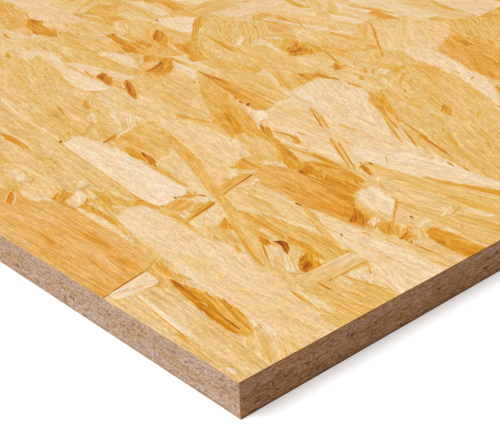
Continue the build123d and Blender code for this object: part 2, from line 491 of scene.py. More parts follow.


# The strands that lie at the near corner, lowest first. Thin dark laths along some strands' ends and
# edges stand partly for darker wood and partly for painted shadow in the fine gaps and steps between
# strands, which lie too close in height to cast it.
NEAR_STRANDS = [
    # Broad pale and tan ones, under the rest.
    strand(PALE, -4, 0.15, 0.6, [(168, 62), (160, 54), (150, 50), (125, 45.5), (110, 42), (60, 38.5),
           (24, 36.5), (-3, 29), (-3, 59), (12, 57.5), (30, 67.5), (70, 71), (120, 73), (150, 75.5),
           (164, 75.5)], 0.3),
    strand(0.34, -6, 0.9, 0.3, [(385, 110), (350, 101.5), (320, 98), (290, 93.5), (272, 90.5), (240, 86),
           (200, 79.5), (167, 76), (164.5, 68), (186, 58), (212, 52), (262, 50), (300, 62), (345, 78)]),
    strand(0.38, -12, 0.5, 0.7, [(275, 46), (262, 56), (240, 56), (212, 55), (203, 47), (207, 38), (232, 33),
           (244, 26), (262, 34)]),
    strand(0.30, -15, 0.3, 0.7, [(240, 113), (200, 109), (165, 103), (150, 99), (118, 92), (108, 98),
           (140, 108), (160, 115), (200, 131), (222, 136)]),
    strand(0.47, -8, 0.4, 0.8, [(264, 148), (260, 128), (251, 107), (236, 108), (205, 112), (203, 126),
           (215, 136), (240, 149)]),
    strand(0.30, -15, 0.3, 0.7, [(262, 172), (255, 152), (220, 143), (180, 129), (158, 119), (154, 134),
           (166, 138), (172, 153), (190, 164), (225, 172)]),
    strand(0.34, -8, 0.4, 0.7, [(152, 142), (143, 139), (128, 135), (100, 131), (80, 126), (52, 113),
           (45, 111), (100, 100), (112, 99), (139, 110)]),
    strand(0.37, -12, 0.5, 0.8, [(122, 74), (132, 92), (118, 97), (100, 94), (70, 84), (57, 72), (80, 70.5)]),
    strand(0.42, -3, 0.7, 0.7, [(33, 91), (3, 97), (-3, 97), (-3, 57), (12, 57), (26, 62), (40, 69),
           (42, 76)]),
    strand(0.22, -5, 0.15, 0.5, [(88, 131), (-3, 131.5), (-3, 108), (31, 109), (45, 111), (55, 114),
           (72, 121)]),
    strand(0.36, 4, 0.4, 0.6, [(62, 131), (-3, 131), (-3, 145), (30, 147), (52, 137)]),
    strand(0.56, -4, 0.45, 0.4, [(156, 156), (151, 141), (137, 133), (104, 131), (82, 132), (55, 133),
           (56, 139), (66, 151), (80, 156), (90, 160), (110, 160), (140, 162)], 0.4, 0.7),
    strand(TAN - 0.02, 3, 0.6, 0.6, [(100, 192), (88, 177), (66, 171), (60, 160), (52, 151), (44, 149),
           (30, 158), (-3, 161), (-3, 196), (60, 192)]),
    strand(0.46, 5, 0.4, 0.6, [(118, 199), (78, 201.5), (45, 207), (15, 212), (-3, 205), (-3, 193), (30, 189),
           (70, 190), (112, 184)]),
    strand(0.28, -5, 0.2, 0.7, [(226, 246), (221, 214), (209, 207), (200, 200), (166, 199), (160, 186),
           (118, 186), (100, 226), (88, 240), (140, 236), (190, 240)], 0.2),
    strand(TAN, -30, 0.7, 0.7, [(185, 292), (160, 266), (130, 248), (105, 234), (60, 224), (20, 226),
           (60, 262), (90, 300), (140, 306)]),
    strand(0.43, -30, 0.6, 0.7, [(215, 350), (200, 318), (188, 290), (150, 284), (90, 286), (96, 310),
           (125, 333), (160, 350), (190, 360)]),
    strand(0.20, -25, 0.25, 0.6, [(246, 290), (240, 272), (236, 254), (200, 245), (172, 226), (150, 238),
           (126, 234), (140, 247), (158, 264), (182, 276), (192, 290), (215, 296)]),
    strand(0.42, -8, 0.6, 0.7, [(322, 262), (300, 240), (260, 234), (226, 230), (222, 246), (240, 254),
           (285, 262)]),
    strand(0.44, -28, 0.3, 0.5, [(302, 292), (292, 278), (270, 268), (250, 259), (236, 253), (237, 266),
           (240, 277), (255, 283), (280, 293)], 0.3, 0.5),
    strand(0.40, -12, 0.6, 0.7, [(350, 216), (345, 190), (300, 172), (260, 172), (225, 178), (250, 194),
           (280, 208), (310, 232)]),
    strand(0.33, -10, 0.4, 0.8, [(345, 178), (336, 160), (310, 148), (262, 150), (250, 166), (270, 178),
           (310, 180)]),
    strand(0.39, -12, 0.5, 0.7, [(392, 112), (385, 150), (335, 160), (300, 150), (258, 130), (252, 108),
           (274, 92), (300, 95), (350, 102)]),
    strand(0.41, -20, 0.5, 0.7, [(465, 158), (440, 176), (400, 168), (370, 155), (372, 128), (400, 118),
           (440, 140)]),
    strand(0.40, -10, 0.6, 0.7, [(525, 182), (500, 204), (450, 212), (400, 210), (352, 212), (345, 200),
           (395, 190), (450, 192), (480, 172)]),
    strand(0.43, -10, 0.6, 0.7, [(505, 230), (470, 240), (440, 240), (405, 232), (400, 214), (450, 206),
           (500, 212)]),
    strand(0.40, -10, 0.5, 0.7, [(520, 236), (500, 268), (470, 272), (440, 262), (445, 250), (470, 240),
           (500, 232)]),
    strand(0.43, -25, 0.4, 0.7, [(482, 288), (462, 302), (430, 300), (392, 298), (380, 280), (396, 258),
           (430, 262), (470, 270)], 0.3),
    strand(0.42, -35, 0.6, 0.7, [(425, 340), (380, 365), (350, 340), (335, 300), (345, 272), (370, 280),
           (400, 304)]),
    strand(0.41, -20, 0.5, 0.8, [(352, 300), (330, 320), (290, 312), (250, 300), (262, 282), (300, 272),
           (345, 270)]),
    strand(0.38, -30, 0.4, 0.8, [(350, 360), (318, 386), (280, 380), (262, 360), (280, 345), (320, 346)]),
    strand(0.34, -35, 0.3, 0.7, [(320, 425), (290, 452), (262, 462), (240, 440), (224, 396), (250, 366),
           (282, 384)]),
    strand(0.41, -38, 0.5, 0.8, [(262, 362), (240, 378), (205, 362), (215, 345), (250, 330), (270, 340)]),
    strand(0.47, -42, 0.6, 0.6, [(275, 465), (236, 500), (205, 470), (186, 425), (205, 425), (232, 434),
           (250, 446)]),

    # Around the long edge.
    strand(0.43, -1, 0.7, 0.25, [(246, -3), (236, 30), (231, 34), (222, 32), (209, 33), (207, 41), (190, 43),
           (150, 41.5), (107, 41), (100, 29), (95, 5), (93, -3)], 0.4, 0.9),
    strand(0.30, -4, 0.9, 0.3, [(93, -3), (95, 4), (88, 4), (86, 24), (80, 29), (60, 26.5), (30, 23),
           (20, 20), (-3, 17), (-3, -3)]),
    strand(0.53, -10, 0.4, 0.7, [(107, 41), (100, 30), (87, 31), (84, 33), (78, 40)], 0.3, 0.5),
    strand(0.57, -12, 0.9, 0.6, [(86, 33.4), (74, 35), (66, 37.5), (55, 38.7), (40, 38.4), (24, 33), (19, 27),
           (24, 23), (45, 24), (60, 27)], 0.5),
    strand(0.36, -32, 0.7, 0.6, [(27, 36), (10, 33), (-3, 28), (-3, 15), (20, 19), (24, 24)]),
    strand(CREAM, 80, 0.15, 0.1, [(101, 29.4), (95, 28.4), (87.4, 28.2), (86, 22), (87.6, 3.4),
           (94.4, 2.8), (97.6, 18)], 0.0),
    # The next three laths draw the dark line along the cut end of this group's first strand: partly dark end
    # wood, partly painted shadow of the gap there.
    lath(BROWN, 101, 30.5, 95.5, 6, 1.1, 0.2),
    lath(0.80, 95.5, 6, 92.8, -3, 0.9, 0.2),
    lath(0.72, 107.5, 41, 100.6, 29.5, 0.9, 0.3),
    lath(WHITE, 86, 13.4, 37, 7.4, 2.6, 0.3),
    lath(0.60, 88, 12.0, 38, 5.6, 1.8, 0.6),
    lath(0.52, 48, 5, 6, 0.8, 2.4, 0.8),
    lath(WHITE, 12, 3.5, 5, 3, 2.4, 0.4),
    lath(0.74, 12, 5.6, 8.5, 5.2, 1.2, 0.4),
    strand(0.78, -8, 0.4, 0.5, [(87, 32.8), (84, 33.4), (70, 31.8), (55, 29.8), (40, 28), (30, 26.6),
           (24, 24), (30, 21.5), (45, 22.5), (60, 25), (75, 28), (84, 30.4)], 0.5, 0.3),
    lath(0.88, 86.5, 32.6, 57, 29.8, 1.7, 0.5),
    lath(0.86, 56, 29.4, 28, 26.2, 1.5, 0.5),
    lath(0.84, 62, 26.8, 26, 22.8, 3.2, 0.7),
    lath(0.72, 66, 37.2, 58, 34.0, 1.0, 0.5),
    lath(0.76, 55, 38.2, 44, 35.2, 1.0, 0.4),
    lath(0.70, 28, 35.2, 22, 33.0, 1.0, 0.4),
    lath(0.44, 12, 33, 0, 24, 1.0, 0.5),
    lath(0.48, 188, 59, 150, 50.4, 2.4, 0.8),
    lath(0.54, 160, 52, 110, 42.2, 1.6, 0.7),
    strand(PALE, -8, 0.2, 0.6, [(186, 46.5), (170, 49), (150, 47), (128, 43.5), (128, 41.8), (160, 42.6),
           (182, 43)], 0.0),
    lath(0.72, 167, 41.8, 157, 41.4, 1.3, 0.5),
    strand(0.50, -12, 0.6, 0.8, [(205, 64), (190, 71), (168, 74), (163, 66), (172, 57.5), (186, 57)]),
    lath(0.56, 196, 70, 166, 66, 2.6, 0.8),
    strand(0.68, -3, 0.3, 0.9, [(320, 74), (308, 78), (295, 78), (280, 75), (271, 71), (285, 69.5),
           (305, 69)]),
    lath(0.84, 250, 72.6, 246.6, 71.4, 1.4, 0.4),
    lath(0.72, 257, 74.2, 253, 73.2, 1.1, 0.4),
    lath(0.76, 168, 76, 165, 72.6, 1.2, 0.3),
    lath(0.55, 300, 93.6, 262, 90.2, 1.4, 0.6),
    lath(0.54, 360, 98.5, 310, 92, 1.2, 0.6),
    strand(0.20, -5, 0.2, 0.7, [(229, 36), (222, 38.5), (210, 39.5), (206.5, 37), (209, 33.5), (222, 33)],
           0.0),
    strand(0.22, -20, 0.3, 0.6, [(264, 45), (256, 51.5), (243, 50), (235, 44), (246, 39)], 0.0),
    lath(0.62, 236.5, 51, 232.6, 46, 1.6, 0.5),
    lath(0.60, 232.8, 47, 240, 42, 1.3, 0.5),
    strand(0.70, -45, 0.3, 0.9, [(231, 32), (225, 32), (217, 27), (213, 22), (219, 21), (227, 26)], 0.4, 0.8),
    lath(0.86, 233, 34.6, 229, 33, 1.8, 0.5),
    strand(CREAM + 0.03, -30, 0.15, 0.4, [(205.5, 60), (203, 58), (197, 46), (190, 43.4), (184, 45),
           (187, 53), (192, 57.5)], 0.0),
    strand(0.21, 85, 0.2, 0.4, [(215, 68), (206, 68.8), (204.6, 61), (209, 60.5)], 0.0),
    lath(0.56, 204.8, 69, 203.4, 59.5, 1.7, 0.5),
    lath(0.50, 217.5, 69.5, 207.5, 60.5, 1.1, 0.5),
    strand(0.70, -48, 0.3, 0.5, [(210, 50.5), (206, 49), (200.6, 43.2), (203.4, 42), (207.4, 44.4)]),
    lath(0.64, 205, 51, 196.4, 42.6, 1.2, 0.4),
    lath(0.72, 212, 54.8, 208, 53, 1.3, 0.4),
    strand(0.80, -38, 0.3, 0.5, [(188, 52), (185.6, 51.5), (180.6, 48.6), (180, 46.6), (183.4, 47)]),
    lath(0.55, 181, 49, 174, 46.5, 2.4, 0.8),

    # The white strand and what surrounds it.
    strand(0.12, -6, 0.12, 0.15, [(278, 107.5), (274, 99), (271.6, 90.8), (240, 86.3), (220, 83.6),
           (200, 80), (180, 77), (152, 76.5), (150, 84), (157, 91), (153, 99), (165, 103.4), (200, 107),
           (240, 108.6)], 0.05, 0.3),
    lath(0.58, 270, 90.4, 218, 83.0, 1.5, 0.4),
    lath(0.56, 226, 84.4, 168, 75.9, 1.6, 0.4),
    lath(0.88, 276.5, 94.6, 272.5, 91, 1.8, 0.4),
    lath(0.62, 274.6, 100, 272.6, 94, 1.2, 0.4),
    lath(0.82, 276.4, 112.6, 273.6, 108.8, 1.8, 0.5),
    lath(0.70, 282, 117.6, 278.6, 115, 1.6, 0.5),
    strand(0.30, -10, 0.4, 0.8, [(157, 91), (150, 84), (152, 76.5), (146, 75), (133, 76), (132, 84),
           (140, 91.6), (150, 92.4)], 0.2, 0.5),
    strand(0.51, -70, 0.4, 0.35, [(154, 90), (150, 93), (144, 93.4), (139.4, 90), (138.6, 84), (142, 78.6),
           (149, 77.6), (153.6, 81)], 0.3, 0.6),
    strand(0.60, -70, 0.4, 0.5, [(143, 89), (139.8, 88), (138.6, 82), (141.6, 79), (143.6, 82.6)], 0.2, 0.4),
    strand(0.23, -20, 0.2, 0.5, [(150, 99), (146, 103.4), (139.6, 102), (141, 93.6), (150, 93)], 0.0),
    strand(0.24, -10, 0.2, 0.6, [(138, 80), (131, 76), (124, 75), (116, 74), (118, 79), (128, 82)], 0.0),
    strand(0.25, -10, 0.3, 0.6, [(132, 98), (118, 93), (113, 84), (118, 79), (129, 78)], 0.0),
    strand(0.70, -40, 0.3, 0.35, [(118.4, 94), (112, 92), (103, 89), (102.6, 86.5), (106, 83.2), (112, 84)]),
    lath(0.54, 127, 87, 121, 82.6, 1.2, 0.6),
    lath(0.70, 157.6, 89.6, 147, 104.6, 1.6, 0.2),
    lath(0.86, 158, 91.2, 153.6, 89.6, 1.8, 0.4),
    strand(0.43, -3, 0.4, 0.8, [(206, 104.5), (170, 104), (150, 103.6), (148.6, 99.6), (165, 102)]),
    lath(0.82, 149.6, 101.2, 144.4, 104, 2.1, 0.4),
    lath(0.66, 155, 103, 150, 100.5, 1.4, 0.6),
    strand(0.64, -4, 0.4, 0.6, [(238, 119.5), (225, 120.5), (212, 118.4), (203, 114.4), (196.4, 109.4),
           (210, 107), (225, 107.5), (237, 110)], 0.4),
    strand(0.86, -30, 0.3, 0.7, [(224, 117.6), (211, 117.4), (203, 114.6), (195, 109), (204, 108.4),
           (214, 112)], 0.2, 0.1),
    strand(0.80, -62, 0.3, 0.5, [(260, 124), (256, 123.4), (251.6, 118), (251, 110), (253.6, 109),
           (257.6, 117)]),
    lath(0.58, 240, 134, 222, 131, 2.4, 0.9),

    # The two strands that cross.
    strand(0.52, -72, 0.4, 0.3, [(157, 135), (150, 142), (147.5, 141), (143, 124), (139.4, 111), (146, 110),
           (150.6, 120)]),
    strand(0.84, -72, 0.1, 0.3, [(150, 142), (147.6, 141), (142.6, 122), (139, 111), (140.6, 111),
           (144.8, 124)]),
    strand(0.60, -73, 0.4, 0.3, [(139.8, 102), (134.6, 102), (131, 90), (127, 76), (130.4, 75), (134.4, 86)]),
    strand(0.82, -73, 0.1, 0.3, [(136.2, 102), (134.4, 102), (130.6, 90), (126.6, 76), (128.4, 75.5),
           (132.4, 88)]),
    strand(0.52, -24, 0.45, 0.25, [(256, 154), (240, 151), (220, 144), (200, 138.4), (180, 130),
           (160, 120), (140, 111.4), (120, 104.6), (100, 96.6), (84, 89), (70, 80.6), (58, 72), (64, 70.4),
           (80, 76), (95, 82.6), (106, 89.6), (120, 97), (140, 105.4), (160, 112.6), (180, 121),
           (200, 129), (220, 136.5), (240, 144)], 0.35, 0.5),
    strand(0.43, -25, 0.5, 0.9, [(122, 103), (100, 95), (84, 87.5), (70, 80), (60, 72.6), (68, 73),
           (84, 79.6), (98, 86), (112, 94)]),
    lath(0.66, 114, 101.6, 84, 89, 0.9, 0.3),
    lath(0.68, 85, 89, 57.6, 71.6, 1.0, 0.3),
    lath(0.62, 104, 88, 80, 76.4, 0.9, 0.4),
    lath(0.62, 80, 76, 61, 70.4, 0.9, 0.4),
    lath(0.60, 206, 136, 186, 130, 3.6, 0.9),
    strand(0.54, -30, 0.4, 0.5, [(174, 155), (168, 158), (156, 156), (151, 151), (152, 143), (160, 140),
           (165, 136.6), (170, 147)], 0.2, 0.3),
    strand(0.71, -5, 0.3, 0.85, [(171, 153.6), (160, 153), (151, 152), (150, 149), (158, 146.6),
           (170, 149.4)]),
    strand(0.19, -25, 0.2, 0.6, [(166, 138), (160, 139), (153, 135), (151.6, 127), (158, 126)], 0.0),
    strand(0.22, -60, 0.2, 0.7, [(144, 139), (138.6, 139), (137, 131), (140.6, 123)], 0.0),
    lath(0.50, 190, 134, 182, 132, 2.0, 0.6),
    lath(0.46, 132, 121, 108, 120, 5.0, 0.9),

    # Along the short edge, between the crossing and the corner.
    strand(0.49, -9, 0.85, 0.9, [(122, 104), (104, 113), (70, 117), (48, 113), (43, 107), (43, 92), (60, 92),
           (90, 95), (108, 96)], 0.25),
    strand(0.47, -22, 0.5, 0.6, [(101, 131.5), (90, 131), (70, 122), (51, 113), (60, 112), (85, 121)]),
    strand(0.64, -8, 0.5, 0.8, [(80, 102), (66, 104), (52, 101), (46, 96), (60, 94.6), (76, 97)], 0.4),
    strand(0.82, -20, 0.3, 0.4, [(88.6, 91.6), (82, 93), (77, 90.4), (78, 86), (85, 87.4)], 0.0, 0.2),
    strand(0.94, -28, 0.1, 0.15, [(79.4, 92.2), (77, 96), (72.6, 96), (67.6, 92.8), (64, 87.6), (68.6, 89.4),
           (73, 91.8)], 0.0, 0.1),
    strand(CREAM, -36, 0.5, 0.4, [(78, 88.4), (70, 90), (62, 86.4), (47, 77.4), (51, 75.6), (65, 81),
           (74, 85)], 0.0),
    lath(0.50, 71, 88.5, 56, 78, 1.0, 0.5),
    lath(0.46, 66, 88, 50, 77.4, 0.9, 0.5),
    strand(0.68, -40, 0.5, 0.7, [(60, 97), (50, 96), (41, 94.6), (40.6, 84), (46, 79), (54, 82), (60, 90)],
           0.3),
    strand(0.84, -60, 0.1, 0.5, [(54.4, 90), (49.6, 92), (44.6, 88), (43.4, 80.6), (48, 80.4), (53, 84)],
           0.0, 0.2),
    strand(0.93, -60, 0.1, 0.4, [(51.6, 88.6), (48.8, 89.6), (46.2, 86.4), (45.8, 82.6), (49.4, 83.4)],
           0.0, 0.1),
    lath(0.74, 50, 76, 42.6, 80.6, 1.4, 0.6),
    strand(0.60, -10, 0.3, 0.9, [(108, 77), (102, 77.4), (98, 74), (104, 72.6)]),
    lath(0.55, 92, 78, 80, 73, 5.0, 0.9),
    strand(0.31, 89, 0.85, 0.25, [(43.6, 111), (31, 110.6), (31.2, 84), (32, 72), (45, 73)], 0.0),
    lath(CREAM, 43.4, 111, 43.6, 90, 1.4, 0.4),
    lath(0.64, 32.2, 110.6, 31.6, 79, 1.2, 0.3),
    lath(0.86, 32.8, 85.4, 31, 83.4, 1.4, 0.4),
    lath(0.45, 36, 108, 36, 78, 0.9, 0.6),
    strand(0.24, -25, 0.3, 0.5, [(31, 110), (-3, 112.6), (-3, 97), (10, 94.4), (31, 91.4)], 0.1),
    lath(0.54, 34, 111, 22.6, 101.6, 1.8, 0.4),
    lath(0.70, 25, 103.4, 22, 101.2, 1.2, 0.4),
    lath(0.66, 31, 90.6, 2, 97, 1.1, 0.3),
    lath(0.60, 20, 96, 16, 93, 1.0, 0.4),
    lath(0.62, 13, 99, 5, 96.8, 1.1, 0.4),
    strand(0.30, -4, 0.3, 0.7, [(31, 90), (22, 90), (21, 84), (30, 84)], 0.0),
    lath(0.77, 35.6, 78.2, 22.6, 77.8, 2.7, 0.5),
    lath(0.62, 22, 86.6, 2, 85.8, 2.6, 0.8),
    lath(0.64, 19, 82.6, 0, 83, 1.8, 0.7),
    lath(0.60, 18, 76, -2, 78, 3.0, 0.8),
    lath(0.57, 22, 70, -2, 70.6, 3.6, 0.8),
    strand(0.24, -4, 0.2, 0.7, [(27, 67.4), (18, 68), (8, 64.6), (14, 62.4), (25, 64)], 0.0),
    strand(0.60, -8, 0.4, 0.85, [(41, 64.8), (30, 66), (18, 63.4), (14, 60), (30, 60.6)]),
    lath(0.54, 14, 58.4, -2, 58, 2.4, 0.8),
    lath(0.50, 76, 121.8, 59, 120.8, 1.0, 0.5),
    lath(0.42, 58, 119.8, 27, 119, 0.9, 0.5),
    lath(0.50, 30, 118.6, 25.6, 119.6, 1.2, 0.5),
    lath(0.84, 61, 122, 58, 119.2, 1.7, 0.4),
    lath(0.72, 55, 130.2, 48, 130.2, 1.6, 0.6),
    lath(0.60, 43, 131.8, 28, 131.8, 1.7, 0.6),
    lath(0.88, 104, 131.2, 97.6, 130.4, 1.9, 0.5),

    # The orange and amber ones beyond the pale strand.
    lath(0.74, 126, 141.6, 110, 140.4, 3.4, 0.9),
    lath(0.66, 92, 135, 64, 133.4, 3.0, 0.8),
    lath(0.76, 122, 157.6, 96, 157.4, 2.4, 0.8),
    strand(0.60, -6, 0.5, 0.55, [(141, 174), (135, 159), (110, 159), (88, 158.6), (87, 163), (91, 171.6),
           (96, 180), (110, 184), (130, 184), (138, 180)], 0.3),
    strand(0.74, -30, 0.4, 0.9, [(138, 171), (131, 160), (124, 160), (114, 164), (122, 173), (132, 175)],
           0.3),
    strand(0.92, -30, 0.1, 0.5, [(133.6, 163.6), (129, 164.6), (125.4, 160.8), (131, 159.8)], 0.0, 0.5),
    lath(0.76, 134, 160.2, 92, 161, 1.8, 0.6),
    lath(0.72, 108, 170, 91, 168.4, 4.4, 0.9),
    strand(0.72, 8, 0.3, 0.8, [(138, 175.6), (128, 181.6), (115, 181.8), (119, 177.6), (130, 173.4)]),
    lath(0.74, 104, 177.6, 96, 171.6, 2.0, 0.8),
    strand(0.58, 2, 0.4, 0.7, [(184, 184.4), (160, 184.6), (145, 188), (130, 187), (110, 182.6), (130, 181),
           (142, 182), (160, 181.4)]),
    strand(0.70, -3, 0.4, 0.8, [(147, 187), (132, 186.8), (118, 184), (130, 181.6), (144, 182.4)]),
    strand(CREAM, -20, 0.15, 0.3, [(87.6, 176), (80, 174.2), (67, 170.4), (62, 163), (54.6, 156), (60, 154),
           (82, 156), (86, 160), (90, 166)], 0.0),
    strand(TAN, -12, 0.3, 0.7, [(85, 157), (77, 149), (66, 146), (58, 148), (50, 150), (56, 155)]),
    strand(0.56, -56, 0.5, 0.2, [(68, 171), (64.6, 169.8), (52, 152), (41.6, 138.6), (44, 138), (48, 144),
           (60, 160)]),
    lath(0.24, 67.6, 169.6, 48, 144, 0.9, 0.3),
    lath(0.66, 62, 164, 43, 139, 0.9, 0.4),
    strand(0.20, -60, 0.2, 0.5, [(62, 147), (57, 147.6), (55, 140), (60, 139)], 0.0),
    strand(0.76, -46, 0.3, 0.4, [(78, 148.4), (72, 149), (66, 145.6), (60, 139.4), (57.4, 134.6), (68, 133.6),
           (72, 139.6)], 0.3, 0.6),
    strand(0.54, -50, 0.9, 0.6, [(57, 146), (50, 150.6), (42, 150.6), (29, 146), (27, 137), (48, 135.6),
           (56, 139)], 0.3),
    lath(0.72, 52, 147, 47, 136.6, 1.9, 0.5),
    lath(0.70, 47.4, 147, 43, 136.6, 1.6, 0.5),
    lath(0.70, 56, 145, 52, 135.6, 1.6, 0.5),
    strand(0.72, -80, 0.5, 0.6, [(38.6, 145), (32, 145.6), (30.6, 137.6), (36.6, 137)]),
    lath(0.74, 44, 151.6, 38, 150, 2.0, 0.6),
    lath(0.62, 28, 138, 8, 137.8, 2.0, 0.7),
    strand(0.65, 8, 0.4, 0.5, [(33, 160.6), (20, 161.4), (8, 159.6), (-3, 162), (-3, 143), (14, 144),
           (28, 147.6), (35, 154)], 0.4, 0.5),
    strand(0.70, 10, 0.3, 0.7, [(17, 158), (-3, 162.6), (-3, 144), (14, 146.6), (19, 152)], 0.2, 0.6),
    lath(0.93, 49.6, 161, 45.6, 159.4, 1.9, 0.4),
    strand(0.22, -70, 0.2, 0.6, [(43, 164), (37, 164.4), (35.6, 155), (39, 152.6), (42.6, 157)], 0.0),
    strand(0.24, 5, 0.2, 0.5, [(28, 164.4), (18, 163.6), (19.6, 160), (28.6, 158.6)], 0.0),
    lath(0.70, 31, 160.4, 27.4, 157.6, 1.4, 0.4),
    lath(0.66, 18.6, 158.6, 16.4, 161.6, 1.4, 0.4),
    strand(0.43, 6, 0.9, 0.4, [(34.4, 190), (33, 171), (-3, 175), (-3, 197)]),
    strand(0.27, 6, 0.3, 0.7, [(34, 190), (33, 183), (18, 186), (18, 192)], 0.0),
    lath(0.64, 38.4, 188, 34, 175.6, 1.5, 0.4),
    lath(0.22, 42, 186, 36.6, 170, 1.6, 0.4),
    lath(0.64, 24, 171, 20.8, 168, 1.3, 0.4),
    lath(0.54, 90, 181, 78, 176, 3.0, 0.8),
    lath(0.56, 80, 174.6, 74, 172, 1.4, 0.5),

    # The big amber strand, and the orange one over it.
    strand(0.53, -27, 0.55, 0.5, [(326, 244), (290, 236), (262, 222), (240, 213), (220, 203), (205, 197),
           (190, 188), (170, 181), (150, 166), (155, 157), (172, 157), (190, 165), (210, 172), (225, 179),
           (240, 186), (255, 193), (275, 205), (300, 222)], 0.4),
    strand(0.41, -27, 0.5, 0.9, [(198, 184), (170, 181), (148, 166), (152, 156), (172, 156), (196, 166),
           (204, 176)]),
    lath(0.66, 244, 190, 214, 181, 5.0, 0.9),
    lath(0.58, 206, 184, 186, 178, 5.0, 0.9),
    strand(0.60, -8, 0.45, 0.35, [(324, 241), (300, 241), (280, 240), (250, 235), (222, 230.6),
           (220.6, 212.6), (230, 212.6), (240, 215.6), (256, 221), (280, 228), (300, 234)], 0.5, 0.5),
    lath(0.68, 300, 236, 274, 229, 4.0, 0.9),
    lath(0.62, 306, 224.6, 298, 220, 3.0, 0.9),
    strand(CREAM, -35, 0.25, 0.3, [(246, 216.6), (236, 213), (225, 205), (212, 199), (199, 191), (195, 189),
           (205, 198), (210, 203), (208, 208), (214, 214.6), (220.6, 217), (225, 213), (236, 214.4)], 0.0),
    lath(0.88, 257, 221.6, 251.6, 219, 1.8, 0.5),
    lath(0.90, 248, 217.6, 241, 215.8, 2.0, 0.5),
    strand(0.94, -50, 0.1, 0.5, [(240.6, 219), (237, 219.8), (234.6, 215), (237.4, 214)], 0.0),
    lath(0.64, 230, 219, 227, 212.6, 1.8, 0.5),
    lath(0.66, 239, 228, 234, 226, 2.0, 0.8),
    lath(0.67, 199, 198, 184, 189, 5.6, 0.7),
    strand(0.72, 4, 0.3, 0.7, [(191, 193), (187, 197), (177, 199.4), (169, 199), (161.4, 195.6), (162, 190.6),
           (168, 190), (173, 193), (181, 194)], 0.3),
    lath(0.76, 178, 204, 170, 203, 2.2, 0.6),
    lath(0.60, 174, 205.6, 168, 202, 1.2, 0.5),
    lath(0.56, 161, 197.6, 152.6, 190, 1.2, 0.5),
    strand(0.23, 1, 0.2, 0.7, [(180, 187), (160, 185.6), (140, 188), (122, 188), (118, 197), (160, 192),
           (176, 190)], 0.0),
    lath(0.50, 172, 249, 140, 243, 2.0, 0.8),
    lath(0.45, 170, 232, 148, 230, 6.0, 0.9),

    # Narrow ones with two dark sides.
    lath(0.48, 157, 212, 109, 183.6, 4.6, 0.4),
    lath(0.74, 156, 211, 112, 183.4, 1.3, 0.3),
    lath(0.74, 148, 210, 109, 184.6, 1.2, 0.3),
    lath(0.50, 204, 242, 167, 220.6, 4.4, 0.4),
    lath(0.72, 203, 240.6, 171, 220.2, 1.3, 0.3),
    lath(0.72, 187, 234, 166, 221.4, 1.3, 0.3),
    lath(0.48, 160, 263, 116, 233.6, 4.2, 0.5),
    lath(0.66, 160, 263, 117, 233.4, 1.3, 0.4),
    lath(0.76, 133, 252.6, 106, 234.6, 1.8, 0.3),
    lath(0.56, 322, 428, 238, 353, 4.0, 0.5),
    lath(0.76, 304, 413, 274, 386, 2.0, 0.4),
    lath(0.70, 278, 389, 238, 353.4, 1.6, 0.3),
    strand(0.64, -38, 0.4, 0.5, [(194, 293), (184, 288), (172, 278), (160, 268), (148, 261), (140, 257.6),
           (142, 262), (150, 269), (160, 276), (172, 285), (182, 293)], 0.4),
    lath(0.70, 184, 290, 166, 275, 6.0, 0.8),
    lath(0.66, 148, 264, 110, 250, 3.0, 0.6),
    lath(0.76, 120, 252, 84, 237.6, 3.0, 0.6),
    strand(0.60, -40, 0.5, 0.8, [(113, 268), (105, 267), (96, 260), (87, 251), (94, 251), (104, 259)]),
    lath(0.52, 84, 272, 72, 262, 4.0, 0.9),
    lath(0.68, 81, 229.8, 72, 226.6, 2.4, 0.6),
    lath(0.66, 71, 231, 59.6, 226, 2.4, 0.6),
    lath(0.66, 94.6, 225.8, 88.6, 224.8, 1.9, 0.6),
    lath(0.70, 145, 213, 141, 211, 1.8, 0.6),
    strand(CREAM, 8, 0.15, 0.35, [(138.6, 215), (132, 206), (127, 199), (118, 198.4), (110, 199), (90, 200),
           (78, 201), (60, 210), (33, 221), (36, 226), (60, 227.6), (100, 225.6), (118, 221)], 0.0),
    strand(0.60, 16, 0.4, 0.6, [(78, 202), (60, 202.6), (45, 207), (26, 212), (26, 224), (38, 219),
           (50, 214.6), (65, 208), (77, 205)], 0.3),
    lath(0.50, 113, 214, 103, 205, 2.2, 0.8),
    strand(0.74, -30, 0.3, 0.7, [(113, 194.6), (106, 193.6), (96.6, 188), (98, 184.6), (106, 186.6),
           (112, 190)]),
    lath(0.88, 112.6, 198.8, 108, 197.4, 1.9, 0.4),
    lath(0.70, 117.6, 196.4, 112, 193, 1.2, 0.5),
    lath(0.60, 88, 194, 82, 191.6, 2.0, 0.7),

    # Farther in.
    strand(0.24, -20, 0.2, 0.5, [(291, 277), (284, 272), (282, 262), (272, 264), (262, 261.6), (248, 257),
           (262, 266), (276, 273)], 0.0),
    lath(0.66, 287, 270, 281.6, 261.6, 1.9, 0.5),
    lath(0.52, 270, 259, 258, 253, 4.0, 0.9),
    lath(0.80, 345, 192.6, 301, 171, 6.6, 0.3),
    lath(0.85, 338, 189, 311, 176, 2.6, 0.5),
    lath(0.20, 341, 186.6, 328, 180, 2.0, 0.5),
    strand(0.20, -10, 0.2, 0.6, [(400, 181), (372, 178.6), (345, 177), (334, 172), (338, 163), (345, 156),
           (362, 157), (378, 162), (398, 169)], 0.0),
    strand(0.62, -38, 0.4, 0.6, [(330, 149), (322, 148), (313, 141.6), (311, 137.6), (320, 137.6),
           (327, 143)], 0.2, 0.8),
    lath(0.68, 334, 127.6, 300, 116.6, 2.6, 0.5),
    lath(0.52, 304, 142, 289, 130, 1.6, 0.5),
    lath(0.56, 290, 131, 280, 115, 1.8, 0.5),
    lath(0.56, 285, 127, 273.6, 109, 1.6, 0.5),
    lath(0.60, 310, 142.6, 300, 140, 1.6, 0.5),
    strand(0.26, -30, 0.3, 0.7, [(304, 136), (296, 136.4), (284, 127), (290, 124), (300, 129)], 0.0),
    lath(0.60, 287, 106, 278, 101.6, 4.4, 0.9),
